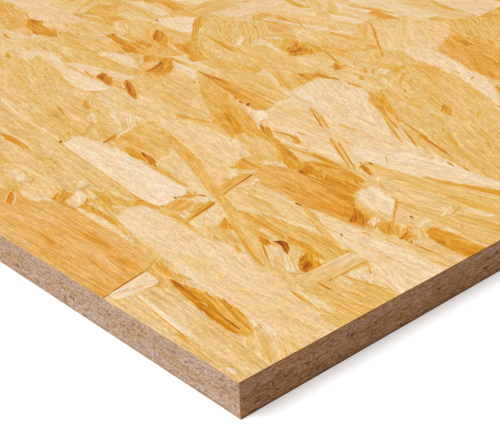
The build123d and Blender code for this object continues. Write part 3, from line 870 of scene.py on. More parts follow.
    strand(0.75, -25, 0.3, 0.5, [(373, 191.6), (364, 191.4), (354, 190), (346, 183), (340, 176.6),
           (349, 175.6), (359, 178.6), (367, 182)], 0.0, 0.2),
    strand(0.90, -50, 0.1, 0.5, [(371.6, 191.6), (364.6, 191), (358.6, 186), (355, 180.6), (360, 179.4),
           (366.6, 182)], 0.0, 0.1),
    lath(0.84, 352, 180.6, 340, 176.4, 2.4, 0.5),
    lath(0.66, 386, 184.6, 362, 178.6, 2.4, 0.6),
    strand(0.24, -30, 0.2, 0.6, [(379, 189), (371, 189), (368, 184), (374, 183.4)], 0.0),
    strand(0.67, -45, 0.4, 0.45, [(367, 243.6), (358, 246.6), (348, 241.4), (340, 235), (333, 227.6),
           (329.6, 219), (333, 212.6), (342, 213.6), (349, 212), (353, 222), (358, 233)], 0.3),
    strand(0.80, -60, 0.3, 0.7, [(360.6, 237.6), (355, 225), (348.6, 211.6), (341, 214.4), (337.6, 221),
           (342, 229.6), (351, 235.6)]),
    lath(0.80, 341, 230, 334, 215, 2.4, 0.8),
    strand(0.60, -25, 0.3, 0.8, [(388, 246), (372, 247), (362, 240), (360, 232), (366, 225.6), (376, 229.6),
           (384, 235)], 0.2, 0.8),
    strand(0.67, -10, 0.5, 0.8, [(454, 258.6), (430, 255.6), (405, 252.6), (385, 249), (377, 242), (385, 235),
           (400, 231), (415, 237), (435, 243.6), (454, 248)], 0.5),
    lath(0.78, 420, 247, 396, 241, 4.0, 0.9),
    strand(0.22, -8, 0.2, 0.7, [(416, 223), (400, 228), (385, 229), (370, 223), (355, 213), (370, 210),
           (390, 212), (413, 213)], 0.0),
    strand(0.23, -8, 0.2, 0.7, [(456, 190), (430, 193), (412, 186), (398, 178), (395, 169), (420, 174),
           (450, 180)], 0.0),
    lath(0.54, 433, 161, 408, 149, 1.4, 0.5),
    lath(0.52, 410, 150, 379, 130, 1.3, 0.5),
    lath(0.60, 478, 170, 452, 162, 6.0, 0.9),
    lath(0.64, 398, 157.6, 391.6, 155, 2.0, 0.7),
    lath(0.58, 436, 193, 430, 189.6, 2.0, 0.7),
    lath(0.56, 480, 190, 462, 184, 4.0, 0.9),
    strand(0.62, -10, 0.5, 0.6, [(552, 236), (535, 241), (520, 233), (505, 233), (490, 230), (477, 222),
           (482, 215), (500, 211), (520, 215), (535, 221)], 0.5, 0.3),
    lath(0.80, 537, 240.6, 524, 234.4, 2.0, 0.5),
    lath(0.72, 530, 226, 500, 220, 6.0, 0.9),
    lath(0.82, 491, 230, 484, 227, 3.0, 0.7),
    lath(0.64, 479, 239, 469, 236, 2.8, 0.8),
    lath(0.68, 524, 195, 505, 191, 5.0, 0.9),
    lath(0.70, 509, 248, 499, 242.6, 1.9, 0.6),
    strand(0.28, -10, 0.2, 0.7, [(530, 244), (505, 243), (484, 233), (495, 231), (518, 234)], 0.0),
    strand(0.73, -38, 0.3, 0.5, [(435, 288.6), (428, 279.6), (418, 271.4), (404, 264), (388, 260),
           (381, 261.6), (389, 268), (401, 277.6), (412, 284.4), (425, 289.6)], 0.4, 0.3),
    strand(CREAM, -20, 0.2, 0.4, [(462, 310), (445, 332), (428, 336), (418, 323), (404, 308.6), (395, 300),
           (415, 296.6), (445, 302)], 0.0),
    strand(0.58, -41, 0.6, 0.4, [(440, 340), (434, 340), (410, 317), (396, 304), (380, 291), (365, 278),
           (349, 263), (354, 262), (372, 276), (388, 288), (405, 303), (418, 314), (432, 327)], 0.3),
    lath(0.72, 432, 332, 394, 299, 1.8, 0.5),
    lath(0.70, 400, 303, 370, 277.6, 1.7, 0.5),
    lath(0.60, 396, 296, 360, 269, 1.4, 0.5),
    strand(0.58, -25, 0.5, 0.9, [(337, 343), (318, 347), (300, 347), (284, 339), (279, 326), (288, 311),
           (305, 312), (322, 321)], 0.3),
    strand(0.69, -50, 0.4, 0.75, [(319, 337.6), (306, 340.6), (292, 335), (283, 328), (287, 316), (292, 310),
           (302, 314), (312, 321)]),
    strand(0.82, -60, 0.3, 0.85, [(309, 330), (300, 335), (291, 329.6), (296, 317), (304, 316)], 0.0, 0.4),
    lath(0.68, 291, 340, 250, 320, 3.4, 0.7),
    strand(0.70, -30, 0.3, 0.8, [(259, 322), (246, 324), (239, 315), (244, 307), (254, 309)]),
    strand(0.60, -18, 0.4, 0.8, [(393, 306.6), (375, 304), (350, 301), (330, 298), (308, 290), (330, 286.6),
           (352, 289.6), (375, 297)]),
    lath(0.70, 384, 352, 369, 344, 3.0, 0.7),
    lath(0.62, 366, 385, 334, 369, 3.4, 0.7),
    lath(0.56, 353, 388, 340, 382, 3.4, 0.8),
    lath(0.68, 337, 378.6, 330.6, 372, 1.8, 0.5),
    lath(0.55, 322, 368, 300, 364, 2.4, 0.8),
    strand(0.52, -5, 0.4, 0.9, [(320, 378), (300, 382), (280, 381), (263, 374), (280, 369), (300, 368),
           (316, 371)], 0.2, 0.6),
    strand(0.24, -50, 0.2, 0.7, [(366, 323), (358, 321), (344, 305), (350, 303), (362, 312)], 0.0),
    lath(0.62, 336, 331, 329, 326, 1.8, 0.6),
    lath(0.62, 288, 350, 279, 341, 1.8, 0.6),
    lath(0.60, 278, 354, 264, 345, 1.8, 0.6),
    lath(0.52, 345, 335, 318, 318, 2.0, 0.7),
    strand(0.20, -30, 0.2, 0.6, [(236, 392), (224, 396), (205, 386), (190, 380), (175, 374), (160, 368),
           (148, 366), (135, 352), (120, 336), (110, 323), (125, 330), (150, 343), (180, 357), (205, 362),
           (230, 368), (245, 381)], 0.1),
    strand(0.55, -35, 0.4, 0.35, [(239, 435), (222, 437), (200, 432), (180, 427), (145, 400), (125, 360),
           (150, 366), (175, 374), (200, 384.6), (223, 395), (230, 413)], 0.4, 0.8),
    strand(0.73, -25, 0.3, 0.8, [(237, 433), (222, 433), (206, 424), (210, 416), (225, 419), (234, 426)]),
    lath(0.66, 200, 412, 168, 398, 8.0, 0.9),
    lath(0.60, 254, 448, 222, 431, 6.0, 0.9),
    lath(0.66, 211, 442, 194, 432, 5.0, 0.8),
    lath(0.58, 256, 482, 242, 472, 5.0, 0.9),
    lath(0.50, 250, 470, 220, 442, 2.4, 0.7),
    lath(0.52, 270, 436, 256, 432, 5.0, 0.9),
    strand(0.66, -55, 0.4, 0.6, [(144, 305), (138, 304), (130, 300), (123, 289.6), (132, 289.6), (139, 297)]),
    lath(0.74, 142, 303, 133, 292, 1.8, 0.6),
    lath(0.76, 225.6, 329, 219, 319.6, 1.9, 0.5),
    strand(0.21, -60, 0.2, 0.6, [(225, 334), (214, 336), (211, 326), (219, 320.6)], 0.0),
    lath(0.58, 234, 327, 222, 316, 7.0, 0.9),
    lath(0.66, 222, 310, 214, 305, 5.0, 0.9),
    strand(0.62, -5, 0.4, 0.7, [(223, 297), (212, 296.6), (203, 294), (206, 290.4), (218, 291)]),
    lath(0.66, 193, 301, 183.6, 287.4, 1.8, 0.5),
    strand(0.23, -45, 0.2, 0.6, [(209, 319), (202, 317), (195, 308), (202, 308.6)], 0.0),
    lath(0.74, 181, 310, 175.6, 305, 2.2, 0.6),
    lath(0.66, 163, 363.6, 159, 355, 2.4, 0.6),
    lath(0.64, 150, 363, 145, 359, 2.2, 0.7),
    lath(0.53, 206, 344, 188, 312, 9.0, 0.9),
    lath(0.54, 170, 334, 160, 318, 2.0, 0.7),
    lath(0.54, 178, 336, 171, 328, 2.2, 0.7),
    lath(0.52, 118, 312, 108, 296, 5.0, 0.9),
    lath(0.56, 230, 294, 206, 282, 2.0, 0.6),
    lath(0.58, 158, 345, 132, 336, 3.0, 0.8),
    lath(0.50, 184, 366, 172, 360, 3.0, 0.8),
]


def near_places(corners):
    """Points given as mm back along the long edge and in along the short one, from the near corner, as X
    and Y. Beyond a sawn edge a point is put much farther out, so that no strand's rim follows the cut."""
    times_beyond = 8
    back, inward = np.array(corners, float).T
    back, inward = (np.where(way < 0, way * times_beyond, way) for way in (back, inward))
    return np.stack([high[0] - back, low[1] + inward], -1)


def signed_area(outlines):
    """Half the sum of x y' - x' y over each outline's sides: above zero where it runs counterclockwise."""
    return cross(outlines, np.roll(outlines, -1, -2)).sum(-1) / 2


def even_outline(corners, count):
    """The outline with a set number of points: every corner, and the rest shared out by the sides' lengths.
    Each point then moves a little toward the middle of its neighbours, which rounds the corners."""
    own_share, neighbour_share = 0.6, 0.2
    ahead = np.roll(corners, -1, 0)
    lengths = np.hypot(*(ahead - corners).T)
    pieces = np.maximum(1, np.floor(lengths / lengths.sum() * (count - len(corners))).astype(int) + 1)
    while pieces.sum() < count:
        pieces[np.argmax(lengths / pieces)] += 1
    while pieces.sum() > count:
        pieces[np.argmin(lengths / np.maximum(pieces - 1, 0.5))] -= 1
    points = np.concatenate([
        start + (end - start) * np.arange(parts)[:, None] / parts
        for start, end, parts in zip(corners, ahead, pieces)
    ])
    return points * own_share + (np.roll(points, 1, 0) + np.roll(points, -1, 0)) * neighbour_share


def hand_placed(count):
    """The near corner's strands as arrays, topmost first: outlines with that many points, and values."""
    outlines, values = [], []
    for corners, numbers in reversed(NEAR_STRANDS):
        places = near_places(corners)
        places = places if signed_area(places) > 0 else places[::-1]
        outlines.append(even_outline(places, count))
        values.append(numbers)
    return np.array(outlines), np.array(values)


# A random strand's outline, as shares of its half length and half width, from one end corner right round.
ALONG_SHARES = np.array([-1.0, -1.0, -1.0, -0.45, 0.05, 0.5, 1.0, 1.0, 1.0, 0.5, 0.0, -0.5])
ACROSS_SHARES = np.array([1.0, 0.0, -1.0, -1.0, -1.0, -1.0, -1.0, 0.0, 1.0, 1.0, 1.0, 1.0])

# What random strands are like: shares of all strands, and ranges of lengths and widths.
SPLINTER_SHARE, SPLINTER_LENGTHS, SPLINTER_WIDTHS = 0.30, (12, 55), (1.6, 8.0)
STRAND_LENGTHS, STRAND_WIDTHS = (65, 165), (7, 42)
WIDTH_LOGARITHM = (2.95, 0.45)      # mean and spread of the natural logarithm of a strand's width
ANGLE_SPREAD, STRAY_SHARE = 15, 0.09
CORNER_ANGLE, CORNER_REACH = 13, 700  # the strands turn by this angle near the corner, and less farther off
PALE_SHARE, DARK_SHARE, DARK_SPLINTER_SHARE, CRISP_SHARE = 0.18, 0.16, 0.55, 0.12
USUAL_TONE, PALE_TONES, DARK_TONES, SPLINTER_TONES = (0.42, 0.06), (0.14, 0.28), (0.53, 0.64), (0.56, 0.82)
FIGURES, MOST_STAIN_ROOT, MOST_BLUSH = (0.1, 0.8), 0.7, 0.6
CRISP_SOFTNESS, SOFTNESSES = 0.2, (0.4, 0.95)


def random_outlines(draw, centre, smallest):
    """A strand's outline at each centre: the shares times half its length and width, with a taper, a
    wobble and slanted ends, and turned by its angle. Gives the splinters, the angles and the outlines."""
    end_wobble, side_wobble, most_taper, bulge, slant, point = 0.02, 0.05, 0.35, 0.12, 0.5, 0.08
    count, corners = len(centre), len(ALONG_SHARES)
    splinter = (draw.random(count) < SPLINTER_SHARE) & (smallest == 0)
    length = np.where(splinter, draw.uniform(*SPLINTER_LENGTHS, count), draw.uniform(*STRAND_LENGTHS, count))
    splinter_width = draw.uniform(*SPLINTER_WIDTHS, count)
    strand_width = np.clip(draw.lognormal(*WIDTH_LOGARITHM, count), *STRAND_WIDTHS)
    width = np.maximum(np.where(splinter, splinter_width, strand_width), smallest)
    nearness = np.exp(-np.hypot(high[0] - centre[:, 0], centre[:, 1] - low[1]) / CORNER_REACH)
    angle = draw.normal(0, ANGLE_SPREAD, count) - CORNER_ANGLE * nearness
    stray = draw.random(count) < STRAY_SHARE
    angle = np.where(stray, draw.uniform(-90, 90, count), angle)
    along = ALONG_SHARES * (1 + draw.normal(0, end_wobble, (count, corners))) * length[:, None] / 2
    taper = draw.uniform(-most_taper, most_taper, (count, 1)) * ALONG_SHARES
    wobble = draw.normal(0, side_wobble, (count, corners))
    across = ACROSS_SHARES * (1 - np.abs(ALONG_SHARES) * bulge + taper + wobble) * width[:, None] / 2
    slanted = draw.normal(0, slant, (count, 1)) * across * (np.abs(ALONG_SHARES) == 1)
    along = along + slanted + draw.normal(0, point, along.shape) * width[:, None] * (ACROSS_SHARES == 0)
    return splinter, angle, centre[:, None] + turned(np.stack([along, across], -1), angle[:, None])


def random_strands(draw, centre, smallest=0.0):
    """A strand at each centre: its outline and values, as arrays. The smallest width is in mm."""
    count = len(centre)
    splinter, angle, outlines = random_outlines(draw, centre, smallest)
    kind = draw.random(count)
    tone = draw.normal(*USUAL_TONE, count)
    tone = np.where(kind < PALE_SHARE, draw.uniform(*PALE_TONES, count), tone)
    tone = np.where(kind > 1 - DARK_SHARE, draw.uniform(*DARK_TONES, count), tone)
    tone = np.where(splinter & (kind > 1 - DARK_SPLINTER_SHARE), draw.uniform(*SPLINTER_TONES, count), tone)
    figure = draw.uniform(*FIGURES, count)
    stain = draw.uniform(0, MOST_STAIN_ROOT, count) ** 2
    blush = draw.uniform(0, MOST_BLUSH, count)
    soft = np.where(draw.random(count) < CRISP_SHARE, CRISP_SOFTNESS, draw.uniform(*SOFTNESSES, count))
    return outlines, np.stack([angle, tone, figure, stain, blush, soft], -1)


class Raster:
    """A grid of cells over part of the sheet. It says how deep the strands go there, where they cover a
    cell wholly, and which tone lies on top."""

    def __init__(self, first, last, cell):
        bare_tone = 0.4
        self.first, self.cell = np.array(first, float), cell
        shape = tuple(np.round((np.array(last) - first) / cell).astype(int))
        self.depth = np.zeros(shape, int)
        self.covered = np.zeros(shape, bool)
        self.tone = np.full(shape, bare_tone)

    def cells_of(self, points):
        """The rows and columns of the cells in which points lie."""
        cells = np.floor((points - self.first) / self.cell).astype(int)
        return tuple(np.clip(cells, 0, np.array(self.depth.shape) - 1).T)

    def footprint(self, outline):
        """The block of cells round the outline, and in it the cells whose middle is inside, by counting
        crossings, the same with one cell more all round and with one less."""
        places_a_side, spare = 8, 2
        place = (outline - self.first) / self.cell
        size = np.array(self.depth.shape)
        start = np.clip(np.floor(place.min(0)).astype(int) - spare, 0, size - 1)
        end = np.clip(np.ceil(place.max(0)).astype(int) + spare + 1, 1, size)
        rows, columns = (np.arange(a, b) + 0.5 for a, b in zip(start, end))
        ahead = np.roll(place, -1, 0)
        spans = (place[:, 1] > columns[:, None]) != (ahead[:, 1] > columns[:, None])
        rise = np.where(place[:, 1] == ahead[:, 1], TINY, ahead[:, 1] - place[:, 1])
        crossing = (ahead[:, 0] - place[:, 0]) * (columns[:, None] - place[:, 1]) / rise + place[:, 0]
        crossing = np.where(spans, crossing, -FAR)
        inside = (rows[:, None, None] < crossing[None]).sum(-1) % 2 == 1
        steps = np.arange(places_a_side)[:, None, None] / places_a_side
        dense = (place + (ahead - place) * steps).reshape(-1, 2)
        dense = np.floor(dense).astype(int) - start
        dense = dense[((dense >= 0) & (dense < inside.shape)).all(1)]
        touched = inside.copy()
        touched[tuple(dense.T)] = True
        wide, tight = touched.copy(), inside.copy()
        for axis in (0, 1):
            wide = wide | np.roll(wide, 1, axis) | np.roll(wide, -1, axis)
            tight = tight & np.roll(tight, 1, axis) & np.roll(tight, -1, axis)
        return (slice(start[0], end[0]), slice(start[1], end[1])), inside, wide, tight

    def press(self, outlines, least_share=0.0):
        """Takes strands from the top down. One that shows too small a share is left out, and each that
        stays lies a level under the lowest strand above it. Gives which stay, their levels and footprints."""
        kept, levels, prints = np.zeros(len(outlines), bool), np.zeros(len(outlines), int), []
        for i, outline in enumerate(outlines):
            block, inside, wide, tight = self.footprint(outline)
            if (inside & ~self.covered[block]).sum() < least_share * inside.sum():
                continue
            depth = self.depth[block]
            kept[i] = True
            levels[i] = depth[wide].max() + 1 if wide.any() else 1
            depth[wide] = levels[i]
            self.covered[block] |= tight
            prints.append((block, inside))
        return kept, levels, prints

    def tones_under(self, outlines, tones, prints):
        """From the lowest strand up: what lies under each outline's points, then the strand's own tone."""
        under = np.zeros(outlines.shape[:2])
        for i in range(len(outlines) - 1, -1, -1):
            under[i] = self.tone[self.cells_of(outlines[i])]
            block, inside = prints[i]
            self.tone[block][inside] = tones[i]
        return under


def inner_ring(outlines, width):
    """Every point moved inwards by the width, by at most a share of the way to the strand's other side
    there, and by at most a share of the radius of any circle that touches the outline at it and passes
    through another point. Where the strip between the rings would still fold over, the moves are halved
    until it doesn't."""
    room_share, radius_share, halvings = 0.42, 0.8, 10
    least_reach, slack, least_height = 0.01, 0.01, 1e-6
    ahead, behind = np.roll(outlines, -1, 1), np.roll(outlines, 1, 1)
    along = ahead - behind
    along = along / np.maximum(np.linalg.norm(along, axis=-1, keepdims=True), TINY)
    inward = np.stack([-along[..., 1], along[..., 0]], -1)

    normal = inward[:, :, None]
    gap = outlines[:, None] - outlines[:, :, None]
    side = (ahead - outlines)[:, None]
    across = cross(normal, side)
    across = np.where(np.abs(across) < TINY, TINY, across)
    reach = cross(gap, side) / across
    share = cross(gap, normal) / across
    faces_it = (reach > least_reach) & (share > -slack) & (share < 1 + slack)
    room = np.where(faces_it, reach, FAR).min(-1)
    height = (gap * normal).sum(-1)
    radius = (gap ** 2).sum(-1) / np.maximum(2 * height, least_height)
    radius = np.where(height > least_height, radius, FAR).min(-1)
    move = np.minimum(width[:, None], np.minimum(room_share * room, radius_share * radius))
    for _ in range(halvings):
        ring = outlines + inward * move[..., None]
        diagonal = np.roll(ring, -1, 1) - outlines
        lowest = np.minimum(cross(ahead - outlines, diagonal), cross(diagonal, ring - outlines))
        folded = lowest <= 0
        folded = folded | np.roll(folded, 1, 1)
        move = np.where(folded, move * 0.5, move)
    return outlines + inward * move[..., None]


def cut_off(outlines, inset):
    """Outlines cut at the sheet's four borders less an inset. The first and last of a row of points
    beyond a border slide along their outline's sides to it, and the points between them are shared out
    evenly along it."""
    for axis, limit, sign in ((0, high[0], 1), (0, low[0], -1), (1, high[1], 1), (1, low[1], -1)):
        border = limit - sign * inset[:, None]
        beyond = sign * (outlines[..., axis] - border) > 0
        ends, steps = [], []
        for shift in (1, -1):
            mate = np.roll(outlines, shift, 1)
            first = beyond & ~np.roll(beyond, shift, 1)
            span = outlines[..., axis] - mate[..., axis]
            share = (border - mate[..., axis]) / np.where(np.abs(span) < TINY, TINY, span)
            end = mate[..., 1 - axis] + (outlines[..., 1 - axis] - mate[..., 1 - axis]) * share
            count = np.zeros_like(end)
            for _ in range(outlines.shape[1]):
                end = np.where(first, end, np.roll(end, shift, 1))
                count = np.where(first, 0.0, np.roll(count, shift, 1) + 1)
            ends.append(end)
            steps.append(count)
        total = steps[0] + steps[1]
        way = np.where(total > 0, steps[0] / np.maximum(total, 1), 0.5)
        outlines = outlines.copy()
        slid = ends[0] + (ends[1] - ends[0]) * way
        outlines[..., 1 - axis] = np.where(beyond, slid, outlines[..., 1 - axis])
        outlines[..., axis] = np.where(beyond, border, outlines[..., axis])
    return outlines


def strand_plates(name, outlines, values, levels, under, seeds, material, underside):
    """Closed plates, one for each outline: an inner ring at the strand's level, an outer ring a little
    lower, and the outer ring again inside the core. The rings are joined by quads and closed by flat
    faces. Toward the outer ring a soft strand takes on the tone that lies under it."""
    softening = 1.5
    count, points = outlines.shape[:2]
    angle, tone, figure, stain, blush, soft = values.T
    seed, tone_slope, spacing = seeds.T
    inset = (levels - 1) * BORDER_STEP
    ring = inner_ring(outlines, CRISP_RIM + (SOFT_RIM - CRISP_RIM) * soft ** softening)
    outer = cut_off(outlines, inset)
    inner = cut_off(ring, inset + BORDER_RIM)
    step = UNDERSIDE_STEP if underside else LEVEL_STEP
    top = (high[2] - (np.minimum(levels, DEEPEST_LEVEL) - 1) * step)[:, None, None] * np.ones((1, points, 1))
    base = np.full_like(top, high[2] - CORE_COVER - CORE_SINK)
    rings = np.stack([
        np.concatenate([inner, top], -1),
        np.concatenate([outer, top - RIM_DROP_SHARE * step], -1),
        np.concatenate([outer, base], -1),
    ], 1)
    if underside:
        rings[..., 2] = high[2] + low[2] - rings[..., 2]
    number = np.arange(count * 3 * points).reshape(count, 3, points)
    ahead = np.roll(number, -1, 2)
    faces = [number[:, 0], number[:, 2, ::-1]]
    faces += [
        np.stack([number[:, r + 1], ahead[:, r + 1], ahead[:, r], number[:, r]], -1).reshape(-1, 4)
        for r in (0, 1)
    ]
    if underside:
        faces = [face[:, ::-1] for face in faces]
    middle = outer.mean(1, keepdims=True)
    inner_place, outer_place = (turned(flat - middle, -angle[:, None]) for flat in (inner, outer))
    place = np.stack([inner_place, outer_place, outer_place], 1) * MM
    length = np.abs(place[..., 0]).max((1, 2), keepdims=True) + TINY
    whole = np.ones((count, 3, points))
    numbers = {
        "tone": tone[:, None, None] + place[..., 0] / length * tone_slope[:, None, None],
        "under": under[:, None] * whole,
        "rim": whole * np.array([0.0, 1.0, 1.0])[:, None],
    }
    alike = {"soft": np.clip(soft * softening, 0, 1), "figure": figure, "stain": stain, "blush": blush,
             "seed": seed, "spacing": spacing}
    numbers.update({key: whole * value[:, None, None] for key, value in alike.items()})
    return make_piece(name, rings.reshape(-1, 3), faces, material, {"grain": place.reshape(-1, 2)}, numbers)


def near_strands(sheet):
    """The near corner's listed strands, pressed on a raster of their own with cells half as wide. The sheet's
    raster takes the greatest depth of each four cells, and counts as covered where all four are. Gives
    the raster, the block of the sheet's cells that it lies over, and the strands."""
    first = (high[0] - NEAR_REACH[0], low[1] - MARGIN)
    last = (high[0] + MARGIN, low[1] + NEAR_REACH[1])
    near = Raster(first, last, CELL / 2)
    outlines, values = hand_placed(OUTLINE_POINTS)
    _, levels, prints = near.press(outlines)
    part = np.array(near.depth.shape) // 2
    start = np.round((near.first - sheet.first) / CELL).astype(int)
    block = tuple(slice(a, a + b) for a, b in zip(start, part))
    fours = (part[0], 2, part[1], 2)
    sheet.depth[block] = near.depth.reshape(fours).max((1, 3))
    sheet.covered[block] = near.covered.reshape(fours).all((1, 3))
    return near, block, outlines, values, levels, prints


def sheet_strands(draw, sheet):
    """Strands strewn over the whole sheet, topmost first, and then one over each cell still open."""
    centre = draw.uniform(low[:2] - STREWN_BEYOND, high[:2] + STREWN_BEYOND, (RANDOM_STRANDS, 2))
    outlines, values = random_strands(draw, centre)
    kept, levels, prints = sheet.press(outlines, LEAST_SHARE)
    outlines, values, levels = [outlines[kept]], [values[kept]], [levels[kept]]
    margin = int(MARGIN / sheet.cell)
    open_cells = np.argwhere(~sheet.covered[margin:-margin, margin:-margin]) + margin
    for cell in draw.permutation(open_cells):
        if not sheet.covered[tuple(cell)]:
            centre = sheet.first + (cell[None] + 0.5) * sheet.cell
            outline, value = random_strands(draw, centre, smallest=FILLING_WIDTH)
            _, level, more = sheet.press(outline)
            outlines.append(outline)
            values.append(value)
            levels.append(level)
            prints += more
    return np.concatenate(outlines), np.concatenate(values), np.concatenate(levels), prints


def cover_face(name, seed, material, underside=False):
    """One face of the sheet: its strands, from the top down, shared out over pieces by where they lie."""
    draw = np.random.default_rng(seed)
    sheet = Raster(low[:2] - MARGIN, high[:2] + MARGIN, CELL)
    groups = [] if underside else [near_strands(sheet)]
    groups.append((sheet, None, *sheet_strands(draw, sheet)))
    made = 0
    for raster, block, outlines, values, levels, prints in reversed(groups):
        if block:
            raster.tone[:] = sheet.tone[block].repeat(2, 0).repeat(2, 1)
        under = raster.tones_under(outlines, values[:, 1], prints)
        count = len(levels)
        seeds = np.stack([draw.uniform(0, 1, count), draw.normal(0, TONE_SLOPE, count),
                          draw.uniform(*LINE_SPACINGS, count)], -1)
        share = (outlines.mean(1) - low[:2]) / (high[:2] - low[:2])
        tile = np.clip((share * TILES).astype(int), 0, np.array(TILES) - 1) @ np.array([TILES[1], 1])
        on_sheet = signed_area(cut_off(outlines, (levels - 1) * BORDER_STEP)) > LEAST_AREA
        tile = np.where(on_sheet, tile, -1)
        for number in np.unique(tile[on_sheet]):
            chosen = tile == number
            made += 1
            parts = (numbers[chosen] for numbers in (outlines, values, levels, under, seeds))
            strand_plates(f"{name}_{made:02d}", *parts, material, underside)


# Dark marks on the two edges that show: mm from the near corner, mm down from the face, half length, half
# height and strength.
LONG_EDGE_MARKS = [
    (99, 1.4, 3.6, 1.3, 0.8), (79, 8.0, 0.9, 0.7, 1.0), (68, 8.2, 1.0, 0.6, 0.9),
    (71.5, 4.6, 1.0, 0.6, 0.9), (60.5, 14.4, 1.1, 0.6, 0.9), (53, 11.9, 1.0, 0.5, 0.7),
    (42, 5.2, 1.0, 0.6, 0.8), (45, 6.4, 1.3, 0.5, 0.6), (31, 5.4, 0.8, 0.5, 0.8),
    (33, 8.6, 0.9, 0.8, 0.7), (184, 10.3, 1.8, 0.6, 0.7), (174, 13.6, 4.5, 0.8, 0.5),
    (117, 8.5, 1.5, 0.5, 0.6), (9, 5.8, 0.7, 0.6, 0.7), (19, 8.2, 0.6, 0.5, 0.7),
    (13, 10.5, 0.7, 0.5, 0.6), (146, 13.0, 2.0, 0.6, 0.5), (164, 9.0, 1.2, 0.5, 0.5),
    (152, 15.2, 3.2, 0.8, 0.5), (128, 15.4, 2.6, 0.8, 0.4), (121, 2.0, 1.3, 0.5, 0.4),
    (85, 11.0, 2.2, 0.7, 0.5), (66, 12.6, 1.8, 0.7, 0.6), (74, 15.2, 2.2, 0.8, 0.5),
    (110, 13.0, 1.2, 0.5, 0.5), (48, 15.6, 1.8, 0.6, 0.5), (26, 12.0, 1.4, 0.5, 0.5),
    (93, 9.0, 1.8, 0.6, 0.4),
]
SHORT_EDGE_MARKS = [
    (16, 8.0, 6.5, 0.9, 0.8), (14.5, 10.2, 1.6, 0.6, 0.8), (25, 8.8, 3.2, 1.4, 0.8),
    (22, 6.0, 1.6, 0.9, 0.7), (38.5, 9.0, 1.3, 1.7, 0.8), (10, 9.6, 0.9, 0.7, 0.6),
    (4, 9.0, 3.2, 0.6, 0.5), (19, 11.8, 2.6, 0.7, 0.6), (12, 13.2, 3.4, 0.8, 0.5),
    (35, 12.4, 2.2, 0.9, 0.6), (39, 15.4, 1.5, 0.9, 0.8), (51, 8.8, 1.4, 1.0, 0.7),
    (50, 5.4, 1.8, 0.5, 0.5), (56, 11.2, 2.2, 0.7, 0.5), (64, 5.0, 1.8, 0.5, 0.5),
    (75, 9.0, 1.4, 1.8, 0.6), (80, 7.0, 0.9, 0.6, 0.6), (79, 13.2, 2.2, 0.8, 0.5),
    (92, 1.6, 0.9, 0.7, 0.6), (104, 4.0, 3.2, 0.6, 0.6), (101, 9.0, 1.6, 0.7, 0.5),
    (95, 12.0, 1.3, 1.3, 0.5), (113, 13.6, 2.8, 0.7, 0.6), (143, 8.0, 1.6, 1.5, 0.6),
    (147, 11.0, 1.3, 0.7, 0.8), (142, 15.5, 2.2, 0.9, 0.6), (129, 13.4, 2.2, 0.7, 0.5),
    (140, 5.0, 1.1, 0.5, 0.5), (45, 13.0, 3.0, 0.6, 0.5), (62, 14.5, 2.4, 0.7, 0.5),
    (86, 9.5, 1.2, 0.6, 0.5), (120, 9.0, 2.0, 0.6, 0.4),
]

# The noises of the sawn edges, each with its length along the edge, its height and its seed.
EDGE_NOISES = {
    "layers": (7.0, 0.7, 3),
    "grit": (1.1, 0.8, 5),
    "hollows": (2.6, 0.9, 8),
    "crowds": (45.0, 7.0, 11),
    "bands": (34.0, 9.0, 13),
}
EDGE_ROWS = 27
SAW_DEPTH, LAYER_DEPTH, GRIT_DEPTH, PIT_DEPTH = 0.05, 0.10, 0.06, 0.45
UPRIGHT_DEPTH, UPRIGHT_REACH = 0.12, 1.0    # the core's depth at its upright corners, and how far that goes


def edge_stations():
    """Places along the sheet's outline, from the near corner round: close together near it and wider apart
    elsewhere. Gives them, and the places of the corners."""
    fine_reach, fine, coarse = 260.0, 0.5, 4.5
    size_x, size_y = high[0] - low[0], high[1] - low[1]
    round_length = 2 * (size_x + size_y)
    near = np.arange(0, fine_reach, fine)
    far = np.arange(fine_reach, round_length - fine_reach, coarse)
    back = np.arange(round_length - fine_reach, round_length, fine)
    corners = np.array([size_y, size_y + size_x, size_y * 2 + size_x])
    stations = np.unique(np.round(np.concatenate([near, far, back, corners]), 3))
    return stations, np.array([0, *corners, round_length])


def edge_looks(along, height, round_length):
    """What the sawn edges are like at places along the outline and heights: how open the layers are, and
    the pits, the mauve band, the marks and the depth of the relief. Open layers lie round a share of the
    height. A pit is where the hollows' noise passes a bound; it is sunk into the edge, and the shader
    darkens it with painted shade. A mark is its strength times e to a power of its distance."""
    middle_share, open_start, open_fall, least_open = 0.42, 1.25, 2.6, 0.12
    pit_bound, pit_crowding, pit_ramp, pit_openness, pit_gain = 0.95, 0.16, 0.08, 0.2, 1.6
    mauve_share, mauve_spread, mauve_gain, mauve_loss = 0.76, 0.11, 2, 0.3
    mark_power = 1.5
    share = (height - low[2]) / THICKNESS
    noise = {name: lattice_noise(along / length, height / tall, seed)
             for name, (length, tall, seed) in EDGE_NOISES.items()}
    openness = np.clip(open_start - np.abs(share - middle_share) * open_fall, least_open, 1)
    pit = np.clip((noise["hollows"] - pit_bound + pit_crowding * noise["crowds"]) / pit_ramp, 0, 1)
    pit = pit * np.clip((openness - pit_openness) * pit_gain, 0, 1)
    bands = np.clip(noise["bands"] * mauve_gain - mauve_loss, 0, 1)
    mauve = np.exp(-((share - mauve_share) / mauve_spread) ** 2) * bands
    mark = np.zeros_like(along)
    for marks, way in ((SHORT_EDGE_MARKS, along), (LONG_EDGE_MARKS, round_length - along)):
        for reach, down, half_length, half_height, strength in marks:
            gap = ((way - reach) / half_length) ** 2 + ((high[2] - down - height) / half_height) ** 2
            mark = np.maximum(mark, strength * np.exp(-gap ** mark_power))
    depth = SAW_DEPTH + LAYER_DEPTH * noise["layers"] + GRIT_DEPTH * noise["grit"] * openness
    depth = depth + PIT_DEPTH * pit
    return depth, {"pit": pit, "open": openness * noise["crowds"], "mauve": mauve, "mark": mark}


